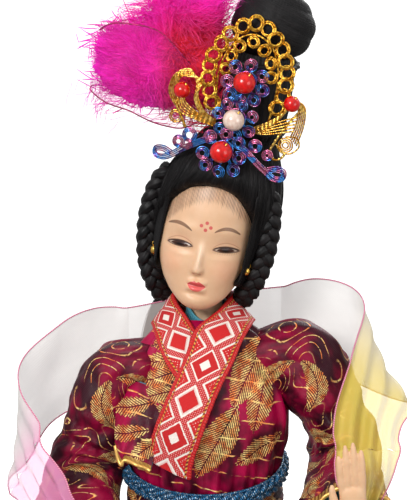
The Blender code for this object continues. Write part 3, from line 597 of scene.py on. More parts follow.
def hatch_leaf(p, u, v, place, angle, size, pitch=0.85):
    """Masks of a pointed leaf woven in slanted gold threads, and of its inside."""
    c, s = math.cos(angle), math.sin(angle)
    a = (u - place[0]) * c + (v - place[1]) * s
    side = ((v - place[1]) * c - (u - place[0]) * s).abs()
    t = a * (1 / size[0])
    half = (1.0 - t * t) * size[1] + (a * (TAU / 2.6)).sin().abs() * 0.5
    return barbs(p, a, side, half, pitch)


def brocade_paint(name, base=(166, 0, 62), deep=(50, 0, 14), scatter=True, spots=(), seed=0.0, place=False,
                  size=15.0, share=1.0):
    """Satin with leaves of gold thread and thin gold lines woven in, with noise patches darkened towards deep
    as painted shade.

    spots are leaves at chosen places, and share is how many of the scattered ones are kept.
    """
    p = Paint(name, rgb(*base), 0.38, sheen=0.03, specular=0.2)
    p.set("Sheen Tint", rgb(255, 120, 190))
    if place:
        x, y, z = p.place()
        u, v = x, z
    else:
        u, v = p.uv()
    tone = p.noise(u * 0.1, v * 0.06, seed, 3.0)
    weft = ((v * (TAU / 0.34)).sin() * 0.5 + 0.5) * ((u * (TAU / 0.3)).sin() * 0.25 + 0.75)
    # Painted shade: noise patches darken the satin towards deep, standing in for the shadows in its folds.
    cloth = p.mix(tone.step(0.4, 0.6), rgb(*deep), rgb(*base))
    cloth = p.mix(weft * 0.07, cloth, rgb(210, 20, 110))
    warp = p.noise(u * 0.05, v * 0.07, 3.0 + seed, 1.0)
    dash = p.noise(u * 0.9, v * 0.9, 12.0, 2.0).step(0.38, 0.5)
    lines = ((warp * 11.0 + v * 0.03).wrap(1.0) - 0.5).abs().step(0.075, 0.03)
    gold = lines * dash * p.noise(u * 0.1, v * 0.1, 9.0 + seed, 1.0).step(0.42, 0.55)
    drift = v + u * 0.22 + p.noise(u * 0.12, v * 0.12, 5.0 + seed, 1.0) * 3.0
    long_line = ((drift * (1 / 5.2)).wrap(1.0) - 0.5).abs().step(0.055, 0.02)
    long_line = long_line * p.noise(u * 0.16, v * 0.5, 21.0 + seed, 2.0).step(0.46, 0.52)
    gold = long_line if place else gold
    if scatter:
        i0 = (v * (1 / size)).floor()
        cu, cv = (u + i0 * 6.3) * (1 / size), v * (1 / size)
        i, j = cu.floor(), cv.floor()
        r = ((i * 12.9898 + j * 78.233 + seed).sin() * 43758.5453).wrap(1.0)
        x0, y0 = (cu - i - 0.5) * size, (cv - j - 0.5) * size
        angle = r * TAU
        ca, sa = angle.cos(), angle.sin()
        a, b = x0 * ca + y0 * sa, y0 * ca - x0 * sa
        bend = b + a * a * 0.05
        long = size * 0.5
        half = (1.0 - a * a * (1 / (long * long))) * (size * 0.2) + (a * (TAU / 2.6)).sin().abs() * 0.4
        fill, inside = barbs(p, a, bend.abs(), half, 0.85)
        kept = (r * 7.0).wrap(1.0).step(share + 0.01, share)
        fill, inside = fill * kept, inside * kept
        cloth = p.mix(inside * 0.7, cloth, rgb(44, 3, 12))
        gold = gold.max(fill)
    for spot in spots:
        fill, inside = hatch_leaf(p, u, v, *spot[:3])
        cloth = p.mix(inside * 0.75, cloth, rgb(*(spot[3] if len(spot) > 3 else (70, 5, 16))))
        gold = gold.max(fill)
    # Gold thread runs at random from orange to pale gold; the pale patches are painted highlights.
    thread_tone_and_highlight = p.noise(u * 0.35, v * 0.35, 2.0, 3.0).step(0.35, 0.65)
    metal = p.mix(thread_tone_and_highlight, rgb(238, 124, 56), rgb(255, 228, 146))
    p.set("Base Color", p.mix(gold, cloth, metal))
    p.set("Metallic", gold * 0.1)
    p.set("Roughness", 0.32 + 0.12 * tone)
    return p.bump(weft * 0.5 + gold * 1.4 + tone * 0.6, 0.09)


def organza_paint(name, low, high, span, alpha):
    """Thin glossy cloth whose colour runs from low to high along v."""
    p = Paint(name, rgb(*low), 0.4, sheen=0.1, specular=0.3)
    u, v = p.uv()
    blend = v.step(*span)
    tone = p.noise(u * 0.14, v * 0.06, 0.0, 3.0)
    weave = ((u * (TAU / 0.4)).sin() * (v * (TAU / 0.4)).sin()) * 0.5 + 0.5
    base = p.mix(blend, rgb(*low), rgb(*high))
    base = p.mix(tone.step(0.3, 0.75) * 0.08, base, (1, 1, 1, 1))
    base = p.mix(weave * 0.09, base, rgb(150, 140, 140))
    p.set("Base Color", base)
    p.set("Alpha", alpha)
    p.set("Roughness", 0.32 + 0.16 * tone)
    p.set("Transmission Weight", 0.0)
    return p.bump(weave + tone * 2.0, 0.05)


def wood_paint(name, dark, light, grain=1.0):
    p = Paint(name, rgb(*light), 0.5, coat=0.15)
    x, y, z = p.place()
    rings = p.noise(x * 0.5 * grain, y * 0.5 * grain, z * 0.04 * grain, 5.0)
    line = ((rings * 22.0).sin() * 0.5 + 0.5)
    pore = p.noise(x * 4.0, y * 4.0, z * 0.3, 3.0)
    p.set("Base Color", p.mix(line * 0.7 + pore * 0.3, rgb(*dark), rgb(*light)))
    p.set("Roughness", 0.4 + 0.25 * pore)
    return p.bump(line * 0.4 + pore, 0.05)


HAIR = hair_paint()
GOLD = metal_paint("gold_cord", (176, 112, 22), (255, 206, 84), 0.2, 1.0)
GOLD_BRIGHT = metal_paint("gold_wire", (206, 142, 44), (255, 220, 120), 0.18, 1.0)
STEEL = metal_paint("turned_steel", (112, 112, 116), (202, 202, 206), 0.28, 1.0)
IRIS = iris_paint()


# ---- Head ----
FACE_ROWS = [  # z, half width, front, back, sideways shift
    (-7.9, 0.8, 11.2, -8.0, 0.2),
    (-7.5, 2.8, 12.8, -7.0, 0.2),
    (-6.4, 4.9, 13.8, -5.0, 0.0),
    (-4.6, 7.0, 14.3, -2.6, -0.3),
    (-3.0, 8.5, 14.5, 0.5, -0.6),
    (0.0, 10.5, 14.7, 6.0, -1.1),
    (5.5, 12.5, 14.9, 10.8, -1.4),
    (12.0, 13.3, 15.0, 13.6, -1.4),
    (17.0, 13.2, 14.9, 14.7, -1.2),
    (21.0, 12.8, 14.4, 14.8, -0.9),
    (25.5, 11.7, 13.2, 14.1, -0.6),
    (30.0, 9.4, 10.4, 11.8, -0.3),
    (33.5, 5.8, 6.0, 8.0, 0.0),
    (35.0, 1.5, 1.2, 3.0, 0.0),
]


def bump2(x, z, cx, cz, sx, sz):
    return np.exp(-(((x - cx) / sx) ** 2) - (((z - cz) / sz) ** 2))


def features(x, z):
    """How far the face stands out from the plain skull, in mm, at local x and z."""
    d = np.zeros_like(x)
    ridge = ease(z, 12.5, 4.6) * ease(z, 2.0, 3.9)
    wide = 0.95 + 0.3 * ease(z, 8, 3.8)
    d += 2.0 * ridge * np.exp(-(((x + 0.25) / wide) ** 2))
    d += 0.5 * (bump2(x, z, -1.35, 4.2, 0.6, 0.8) + bump2(x, z, 0.85, 4.2, 0.6, 0.8))
    d -= 0.25 * (bump2(x, z, -0.8, 3.1, 0.4, 0.35) + bump2(x, z, 0.3, 3.1, 0.4, 0.35))
    for cx, cz in ((-6.6, 10.0), (5.9, 10.4)):
        d -= 1.15 * bump2(x, z, cx, cz, 4.4, 2.3)
        d += 0.75 * bump2(x, z, cx, cz + 0.2, 3.6, 1.5)
        d += 0.3 * bump2(x, z, cx, cz - 2.4, 3.4, 1.0)
        d += 0.35 * bump2(x, z, cx, cz + 5.0, 4.6, 1.4)
    d += 0.75 * (bump2(x, z, -8.0, 4.2, 4.0, 4.0) + bump2(x, z, 6.8, 4.4, 4.0, 4.0))
    lip = np.clip(1 - ((x - 0.2) / 3.0) ** 2, 0, 1)
    d += 0.85 * lip * np.exp(-(((z - 0.65) / 0.75) ** 2))
    d += 0.95 * lip * np.exp(-(((z + 1.25) / 0.8) ** 2))
    d -= 0.35 * lip * np.exp(-(((z + 0.28) / 0.26) ** 2))
    d += 0.4 * bump2(x, z, 0.1, -0.2, 4.2, 2.8)
    d -= 0.28 * bump2(x, z, 0.1, 2.0, 0.55, 0.8)
    d -= 0.45 * bump2(x, z, 0.1, -2.9, 2.6, 0.7)
    d += 0.9 * bump2(x, z, -0.1, -5.0, 3.2, 1.9)
    return d


def skull_point(z, angle, rows):
    z = np.asarray(z, float)
    table = rows
    hw, front, back, shift = (np.interp(z, table[:, 0], table[:, k]) for k in (1, 2, 3, 4))
    mid, reach = (back - front) / 2, (back + front) / 2
    c, s = np.cos(angle), np.sin(angle)
    x = shift + hw * np.sign(c) * np.abs(c) ** 0.92
    y = mid + reach * np.sign(s) * np.abs(s) ** 0.96
    mask = ease(-s, 0.25, 0.7)
    return np.stack([x, y - features(x, z) * mask, z + 0 * x], -1)


FACE_TABLE = spline(FACE_ROWS, 400)
FACE_TABLE = FACE_TABLE[np.argsort(FACE_TABLE[:, 0])]


def face_front(x, z):
    """Local y of the face at local x and z."""
    hw, front, back, shift = (np.interp(z, FACE_TABLE[:, 0], FACE_TABLE[:, k]) for k in (1, 2, 3, 4))
    c = np.clip(np.abs(x - shift) / hw, 0, 0.999) ** (1 / 0.92)
    s = np.sqrt(1 - c * c)
    return (back - front) / 2 - (back + front) / 2 * s**0.96 - features(x, z) * ease(s, 0.25, 0.7)


def face_paint():
    p = skin_paint("face_porcelain", (217, 176, 139))
    x, z = p.uv()
    base = p.shader.inputs["Base Color"].links[0].from_socket

    def blush(cx, cz, r):
        return ((x - cx) * (x - cx) + (z - cz) * (z - cz)).sqrt().step(r, r * 0.15)

    base = p.mix(blush(-8.2, 4.6, 5.2).max(blush(6.8, 4.8, 5.2)) * 0.2, base, rgb(238, 150, 118))
    # A paler stripe down the bridge of the nose is a painted highlight.
    base = p.mix(((x + 0.3).abs()).step(1.3, 0.2) * z.band(4.6, 12.0, 1.4) * 0.35, base, rgb(250, 224, 198))

    def lid(cx, cz, half, lift, lean):
        """Height of a lid line above the eye's middle."""
        s = (x - cx) * (1 / half)
        return z - cz - (x - cx) * lean - (1.0 - s * s) * lift

    for cx, cz, half, lean in ((-6.55, 9.7, 3.95, 0.1), (5.95, 10.3, 3.4, 0.02)):
        span = (x - cx).abs().step(half + 0.2, half - 0.7)
        upper = lid(cx, cz, half, 1.05, lean)
        base = p.mix(upper.band(-0.34, 0.26, 0.12) * span * 0.97, base, rgb(44, 24, 18))
        crease = lid(cx, cz, half + 0.4, 2.2, lean)
        base = p.mix(crease.band(-0.14, 0.12, 0.12) * span * 0.5, base, rgb(150, 92, 66))
        lower = lid(cx, cz, half, -0.52, lean)
        lash = ((x + 0.35 * z).wrap(0.42) * (1 / 0.42)).band(0.3, 0.62, 0.1)
        base = p.mix(lower.band(-0.16, 0.2, 0.1) * span * 0.85, base, rgb(66, 36, 28))
        base = p.mix(lower.band(-0.75, -0.1, 0.1) * lash * span * 0.35, base, rgb(120, 80, 62))
        shade = lid(cx, cz, half + 1, 3.4, lean)
        base = p.mix(shade.band(-2.4, 0.2, 0.9) * (x - cx).abs().step(half + 1.2, half - 1.6) * 0.12, base,
                     rgb(176, 104, 84))
    for cx, cz, bend, half in ((-7.35, 15.5, 0.088, 3.8), (5.6, 16.5, 0.137, 3.3)):
        s = (x - cx) * (1 / half)
        off = (z - cz + (x - cx) * (x - cx) * bend).abs()
        thick = (1.0 - s * s).max(0.0).sqrt() * 0.5
        inside = (thick - off).step(-0.08, 0.1) * (x - cx).abs().step(half + 0.05, half - 0.3)
        hairs = ((x * 1.4 + z * 1.1).wrap(0.3) * (1 / 0.3)).band(0.25, 0.7, 0.15)
        middle = s.abs().step(0.15, 0.95)
        base = p.mix(inside * (0.72 + 0.26 * hairs), base, p.mix(middle, rgb(112, 76, 54), rgb(92, 60, 42)))
    for cx, cz in ((-1.4, 16.3), (0.0, 17.25), (1.2, 16.2), (-0.1, 15.3)):
        dot = ((x - cx) * (x - cx) + (z - cz) * (z - cz)).sqrt().step(0.58, 0.4)
        base = p.mix(dot * 0.9, base, rgb(196, 72, 74))
    s = (x - 0.2) * (1 / 2.55)
    bow = (1.0 - s.abs().pow(2.2)).max(0.0)
    upper = bow * 1.35 - 0.25 - (1.0 - (s * (1 / 0.22)).abs()).max(0.0) * 0.32
    lower = (1.0 - s * s).max(0.0) * -1.65 - 0.25
    inside = (upper - z).step(-0.1, 0.12) * (z - lower).step(-0.1, 0.12) * s.abs().step(1.03, 0.95)
    base = p.mix(inside * 0.92, base, p.mix((z + 0.3).step(-1.2, 0.9), rgb(226, 92, 92), rgb(196, 58, 66)))
    part = (z + 0.28 - s * s * 0.12).abs().step(0.14, 0.03) * s.abs().step(1.0, 0.8)
    base = p.mix(part * 0.75, base, rgb(120, 44, 40))
    # Dark nostrils painted over shallow dents: painted shade standing in for the openings.
    nostril_shade = (((x + 1.1).abs().min((x - 0.55).abs())) * 1.5).pow(2.0) + ((z - 3.1) * 2.2).pow(2.0)
    base = p.mix(nostril_shade.step(0.9, 0.2) * 0.5, base, rgb(150, 84, 64))
    line = 27.0 - (x - 0.6) * (x - 0.6) * 0.058
    depth = line - z
    jitter = p.noise(x * 3.0, 0.0, 0.0, 1.0)
    stroke = ((x * 1.0 + jitter * 0.25).wrap(0.36) * (1 / 0.36)).band(0.22, 0.66, 0.12)
    reach = 2.4 + jitter * 4.2
    base = p.mix(stroke * (depth - reach).step(0.4, -1.6) * 0.85, base, rgb(92, 60, 50))
    p.set("Base Color", base)
    p.set("Roughness", 0.4 - inside * 0.16)
    return p


def make_face():
    z = np.interp(np.linspace(0, 1, 230), np.linspace(0, 1, 400), FACE_TABLE[:, 0])
    angle = circle(300)
    # More columns where the features are.
    angle = angle - 0.5 * np.cos(angle)
    p = skull_point(z[:, None], angle[None, :], FACE_TABLE)
    uv = p[..., [0, 2]]
    uv = np.concatenate([uv, uv[:, :1]], 1)
    b = Build().grid(on_head(p), uv, (False, True))
    tip = np.repeat(p[-1:].mean(1, keepdims=True), 300, 1)
    b.grid(on_head(np.concatenate([p[-1:], tip * 0.999 + p[-1:] * 0.001])), wrap=(False, True))
    chin = np.repeat(p[:1].mean(1, keepdims=True), 300, 1)
    b.grid(on_head(np.concatenate([chin * 0.999 + p[:1] * 0.001, p[:1]])), wrap=(False, True))
    obj = b.make("face", face_paint(), "head", "skin")
    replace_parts(obj, "head")


def eye_paint():
    p = Paint("eye_glass", rgb(30, 16, 12), 0.3, coat=0.15, specular=0.3)
    s, t = p.uv()
    r = (s * s + (t - 0.1) * (t - 0.1) * 0.55).sqrt()
    white = p.mix(s.abs().step(0.6, 1.0), rgb(196, 172, 152), rgb(84, 50, 40))
    iris = p.mix(r.step(0.08, 0.5), rgb(8, 4, 4), rgb(62, 30, 18))
    ring = p.mix(t.abs().step(0.55, 0.95), p.mix(r.step(0.74, 0.62), white, iris), rgb(30, 14, 10))
    p.set("Base Color", ring)
    return p.bump(r.step(0.5, 0.4), 0.03)


def make_eyes():
    paint = eye_paint()
    for side, cx, cz, half, lean in (("right", -6.55, 9.7, 3.75, 0.1), ("left", 5.95, 10.3, 3.2, 0.02)):
        s = np.linspace(-1, 1, 41)[:, None]
        t = np.linspace(-1, 1, 15)[None, :]
        open_up, open_down = 0.92 * (1 - s**2) ** 0.8, 0.5 * (1 - s**2) ** 0.8
        x = cx + half * s + 0 * t
        z = cz + lean * half * s + np.where(t > 0, t * open_up, t * open_down)
        y = face_front(x, z) - 0.05 - 0.28 * (1 - s**2) * (1 - t**2)
        p = np.stack([x, y, z], -1)
        uv = np.stack([s + 0 * t, t + 0 * s], -1)
        back = p + np.array([0, 0.8, 0])
        b = Build().grid(on_head(p), uv).grid(on_head(back), uv, flip=True)
        obj = b.make(f"{side}_eye_lens", paint, "head", "eye")
        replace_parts(obj, f"{side}_eye")


def ball_grid(b, centre, radii, count=36, levels=20, slot=0, hole=0.0, matrix=None):
    """A ball in local axes with a dimpled hole at both ends of its Z axis."""
    t = np.linspace(0.02, math.pi - 0.02, levels)
    r, z = np.sin(t), -np.cos(t)
    if hole:
        z = z * (1 - 0.35 * np.exp(-((r / hole) ** 4)))
    a = circle(count)
    p = np.stack([r[:, None] * np.cos(a) * radii[0], r[:, None] * np.sin(a) * radii[1],
                  z[:, None] * radii[2] + 0 * a], -1) + np.array(centre)
    uv = np.stack(np.broadcast_arrays((np.arange(count + 1) * TAU * radii[0] / count)[None, :],
                                      (np.arange(levels) * math.pi * radii[2] / levels)[:, None]), -1)
    if matrix is not None:
        p = placed(p, matrix)
    return b.grid(p, uv, (False, True), slot)


def hair_curve(start, turn, count):
    """One lock's path from the hairline to the topknot's foot. turn is its angle round the head."""
    foot = np.array([3.2 + 8.9 * math.cos(turn), 3.4 + 8.6 * math.sin(turn), 40.2])
    outward = np.array([math.cos(turn), math.sin(turn), 0])
    front = max(0.0, -math.sin(turn))
    first = start + outward * (1.5 + 0.9 * front) + np.array([0, 0, 1.7])
    z2 = start[2] + (36.5 - start[2]) * 0.48
    hair = np.array([(-4, 12.5, 3.0, 16.2), (2, 13.9, 6.0, 17.3), (7, 15.0, 10.0, 18.4),
                     (13, 15.8, 13.0, 19.0),
                     (19, 16.2, 16.4, 19.3), (25, 16.0, 17.6, 19.0), (30, 14.8, 16.9, 17.6),
                     (34, 12.4, 14.2, 14.8),
                     (38, 9.6, 10.0, 12.0)])

    def shell(z):
        hw, front_y, back_y = (np.interp(z, hair[:, 0], hair[:, k]) for k in (1, 2, 3))
        c, s = math.cos(turn), math.sin(turn)
        return np.array([-0.2 + (z - 20) * 0.05 + hw * c, (back_y if s > 0 else front_y) * s + 0.4, z])

    points = [start, first, shell(z2), shell(z2 + (37.5 - z2) * 0.5),
              shell(36.6) * 0.5 + foot * 0.5 + np.array([0, 0, 0.6]), foot]
    return spline(points, count)


HAIRLINE = [  # local x, y offset behind the face, z, going from the front centre towards +X and round
    (0.9, 26.9), (5.2, 25.6), (8.6, 22.0), (10.7, 17.8), (11.6, 13.5), (11.4, 8.4), (10.4, 4.2), (9.0, 0.4),
]
HAIRLINE_LEFT = [(-3.2, 26.5), (-6.8, 25.0), (-10.0, 21.9), (-12.9, 17.4), (-14.1, 12.6), (-14.1, 8.2),
                 (-13.0, 4.0), (-11.2, 0.2)]


def make_hair():
    def on_face(points):
        return [np.array([x, float(face_front(np.array(x), np.array(z))) - 0.1, z]) for x, z in points]

    right = (on_face(HAIRLINE)
             + [np.array(q, float) for q in ((9.6, 1.5, -2.0), (8.0, 6.0, -3.0), (4.6, 10.6, -3.6),
                                             (-0.5, 12.6, -4.2))])
    left = (on_face(HAIRLINE_LEFT)
            + [np.array(q, float) for q in ((-11.6, 1.5, -1.8), (-9.6, 6.0, -2.8), (-6.0, 10.8, -3.4))])
    loop = right + left[::-1] + [right[0]]
    count = 420
    line = spline(loop, count + 1)[:-1]
    steps = 46
    p = np.zeros((steps, count, 3))
    for k, start in enumerate(line):
        turn = math.atan2(start[1] - 1.5, start[0] + 0.8)
        p[:, k] = hair_curve(start, turn, steps)
    ahead = unit(np.gradient(p, axis=0))
    across = unit(np.roll(p, -1, axis=1) - np.roll(p, 1, axis=1))
    out = unit(np.cross(across, ahead))
    if (out[10] * (p[10] - np.array([0, 2, 20]))).sum() < 0:
        out = -out
    across_mm = np.arange(count) * 0.32
    along_mm = np.arange(steps) * 1.0
    u, v = np.meshgrid(across_mm, along_mm)
    lock = (0.34 * np.abs(np.sin(u * 0.62 + 0.6 * hash_noise(u * 0.2, v * 0.08)))
            + 0.16 * hash_noise(u * 1.3, v * 0.1, 3))
    fade = ease(v, 0.5, 4.0) * ease(v, 45, 41)
    p = p + out * (lock * fade)[..., None]
    uv = uv_grid(np.arange(count + 1) * 0.32, along_mm)
    b = Build().grid(on_head(p), uv, (False, True))
    # The hair turns in under its edge.
    edge = np.stack([p[0], p[0] * 0.94 + np.array([0, 0.4, 1.2])])
    b.grid(on_head(edge), wrap=(False, True))
    # Loose combed strands lie over the locks.
    picks = rng.integers(0, count, 420)
    lines = []
    for k in picks:
        drift = rng.normal(0, 3)
        idx = (k + np.linspace(0, drift, steps)).astype(int) % count
        lines.append(p[np.arange(steps), idx] + out[np.arange(steps), idx] * rng.uniform(0.02, 0.14))
    b.strands(on_head(np.array(lines)[:, ::2]), rng.uniform(0.05, 0.1, len(lines)), 3)
    obj = b.make("combed_hair", HAIR, "head", "hair")
    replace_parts(obj, "hair_cap")

    # The column of gathered hair under the bun.
    rows = [(38.0, 9.2), (40.0, 9.0), (43, 9.6), (46, 9.4), (50, 9.7), (55, 9.4), (59, 8.9), (62.5, 8.0)]
    fine = spline([(z, r, 0) for z, r in rows], 80)
    a = circle(240)
    z, r = fine[:, 0][:, None], fine[:, 1][:, None]
    sway = a[None, :] + (z - 38) * 0.012
    r = (r + 0.42 * np.abs(np.sin(sway * 9)) + 0.14 * np.sin(sway * 41 + z * 0.2)
         + 0.1 * hash_noise(sway * 14, z * 0.25))
    p = np.stack([3.2 + r * np.cos(a), 3.4 + r * np.sin(a), z + 0 * a], -1)
    uv = uv_grid(np.arange(241) * 0.24, np.arange(80) * 0.31)
    b = Build().grid(on_head(p), uv, (False, True))
    for height in (42.4, 60.4):
        ring = np.stack([3.2 + 9.9 * np.cos(a[::3]), 3.4 + 9.9 * np.sin(a[::3]),
                         height + 0.5 * np.sin(a[::3])], -1)
        b.tube(on_head(ring), 0.75, 10, closed=True, ridges=2, depth=0.25, turns=1.6)
    stem = b.make("topknot_column", HAIR, "head", "hair")
    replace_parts(stem, "topknot_stem")

    # A coil of hair wound into the bun.
    t = np.linspace(0.05, math.pi - 0.03, 90)
    a = circle(260)
    tt, aa = np.meshgrid(t, a, indexing="ij")
    wind = aa * 3 + tt * 9
    r = 1 + 0.045 * np.abs(np.sin(wind / 2)) + 0.01 * np.sin(wind * 9) + 0.006 * hash_noise(aa * 9, tt * 9)
    p = np.stack([4.8 + 10.9 * r * np.sin(tt) * np.cos(aa), 3 + 10.3 * r * np.sin(tt) * np.sin(aa),
                  70.2 - 9.6 * r * np.cos(tt)], -1)
    uv = np.stack([tt * 10 + aa * 3, aa * 10], -1)
    uv = np.concatenate([uv, uv[:, :1] + np.array([TAU * 3, TAU * 10])], 1)
    bun = Build().grid(on_head(p), uv, (False, True)).make("coiled_bun", HAIR, "head", "hair")
    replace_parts(bun, "topknot_bun")

    lines = {
        "left": [(12.6, -4.6, 27), (14.2, -4.4, 23.5), (15.1, -4.2, 18), (15.2, -4.0, 10), (14.1, -3.2, 3),
                 (12.0, -1.2, -3), (9.2, 2.0, -7.6)],
        "right": [(-13.8, -3.0, 27.5), (-16.4, -2.4, 23.5), (-18.0, -2.4, 17), (-18.0, -2.4, 9),
                  (-16.4, -2.0, 0.5), (-13.6, -0.6, -5.8), (-10.6, 3.0, -10.2)],
    }
    for side, line in lines.items():
        path = spline(line, 150)
        _, across, deep = frames(path, (1, 0.25, 0))
        length = run_length(path)
        b = Build()
        for k in range(3):
            phase = length * (TAU / 10.5) + k * TAU / 3
            strand = (path + across * (1.7 * np.sin(phase))[:, None]
                      + deep * (1.0 * np.sin(2 * phase))[:, None])
            fat = 1.75 + 0.25 * np.cos(2 * phase)
            fat = fat * ease(length, -2, 3) * ease(length, length[-1] + 1.5, length[-1] - 2.5)
            b.tube(on_head(strand), fat, 30,
                   ridges=9, depth=0.045, turns=0.5)
        obj = b.make(f"{side}_plait", HAIR, "head", "hair")
        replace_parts(obj, f"{side}_braid")

    # Earrings: a small gold drop on a ring.
    for side, x in (("left", 11.6), ("right", -14.6)):
        b = Build()
        ball_grid(b, (x, -5.9, 4.4), (1.05, 1.05, 1.3), 24, 14)
        a = circle(24)
        b.tube(on_head(np.stack([x + 0.7 * np.cos(a), -5.9 + 0 * a, 6.1 + 0.8 * np.sin(a)], -1)), 0.2, 8,
               closed=True)
        b.points[0] = on_head(b.points[0])
        obj = b.make(f"{side}_ear_drop", GOLD_BRIGHT, "head", "gold")
        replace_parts(obj, f"{side}_earring")


def make_tail():
    """The long fall of hair down the back."""
    points = [(-1.4, 18.2, 227), (-3.4, 21.0, 221.5), (-7.4, 25.0, 214.5), (-11.5, 26.9, 204),
              (-13.5, 26.8, 190), (-13, 25.0, 172), (-12, 22.4, 149)]
    path = spline(points, 90)
    wide = np.interp(np.linspace(0, 1, 90), [0, 0.12, 0.3, 0.6, 0.85, 1], [2.4, 4.2, 5.2, 5.3, 4.4, 1.2])
    a = circle(120)
    _, across, deep = frames(path)
    groove = 1 + 0.07 * np.abs(np.sin(a * 7)) + 0.02 * np.sin(a * 31)
    r = wide[:, None] * groove[None, :]
    p = (path[:, None] + across[:, None] * (r * np.cos(a))[..., None]
         + deep[:, None] * (r * 0.46 * np.sin(a))[..., None])
    uv = uv_grid(np.arange(121) * 0.25, np.arange(90) * 0.85)
    b = Build().grid(p, uv, (False, True))
    lines = []
    for _ in range(260):
        k, d = rng.uniform(0, TAU), rng.uniform(0.8, 1.12)
        w = wide * d
        line = path + across * (w * math.cos(k))[:, None] + deep * (w * 0.46 * math.sin(k))[:, None]
        line[:, :2] += np.cumsum(rng.normal(0, 0.03, (90, 2)), 0)
        lines.append(line[::3])
    b.strands(np.array(lines), 0.1, 3)
    obj = b.make("back_hair", HAIR, slot="hair")
    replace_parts(obj, "hair_tail")
    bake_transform(obj)


make_face()
make_eyes()
make_hair()
make_tail()


# ---- Headdress ----
def wire_ring(b, x, y, z, radius, wire, tilt=(0.0, 0.0), squash=1.0, spin=0.0, count=28, sides=6, **more):
    """A closed ring of wire facing the front in the head's axes."""
    a = circle(count)
    u, v = radius * np.cos(a), radius * squash * np.sin(a)
    c, s = math.cos(spin), math.sin(spin)
    px, pz = u * c - v * s, u * s + v * c
    p = np.stack([x + px, y + px * tilt[0] + pz * tilt[1], z + pz], -1)
    return b.tube(on_head(p), wire, sides, closed=True, **more)


def rosette(name, replaced, centre, loops, radius):
    """Loops of fine wire round a bead, each of several turns."""
    b = Build()
    x, y, z = centre
    for k, (lx, lz) in enumerate(loops):
        tilt = (0.12 * math.sin(k * 2.1), 0.12 * math.cos(k * 1.7))
        for turn, r in enumerate((radius, radius - 0.44, radius - 0.88)):
            wire_ring(b, lx, y - 0.3 * turn + 0.2 * math.sin(k * 3), lz, r, 0.15, tilt, 0.94, k * 0.7)
        # Two stems run back to the middle.
        for side in (-0.22, 0.22):
            d = np.array([x - lx, z - lz])
            d = d / np.linalg.norm(d)
            n = np.array([-d[1], d[0]]) * side
            path = [(lx + d[0] * radius * 0.9 + n[0], y, lz + d[1] * radius * 0.9 + n[1]),
                    (x + n[0], y + 0.5, z + n[1])]
            b.tube(on_head(np.array(path)), 0.17, 6)
    for r in (1.6, 2.1, 2.6):
        wire_ring(b, x, y - 0.5, z, r, 0.17)
    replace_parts(b.make(name, IRIS, "head", "iris"), replaced)


def mount_bead(name, replaced, centre, radius, paint, slot):
    """A drilled bead held by a gold pin with a rolled end."""
    b = Build()
    turn = Matrix.Translation(Vector(centre)) @ Matrix.Rotation(math.radians(24), 4, "Y")
    turn = turn @ Matrix.Rotation(math.radians(12), 4, "X")
    ball_grid(b, (0, 0, 0), (radius, radius, radius * 0.97), 40, 30, 0, 0.2, HEAD @ turn)
    pin = placed(np.array([[0, 0, -radius - 0.25], [0, 0, radius + 0.25]]), HEAD @ turn)
    b.tube(pin, 0.2, 8, slot=1)
    back = np.array([[centre[0], centre[1] + radius * 0.8, centre[2]],
                     [centre[0] * 0.99, centre[1] + radius + 1.2, centre[2]]])
    b.tube(on_head(back), 0.35, 8, slot=1)
    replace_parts(b.make(name, [paint, GOLD_BRIGHT], "head", slot), replaced)


def wires(b, lines, radius=0.22, sides=6, steps=26, **more):
    for line in lines:
        b.tube(on_head(spline(line, steps)), radius, sides, **more)


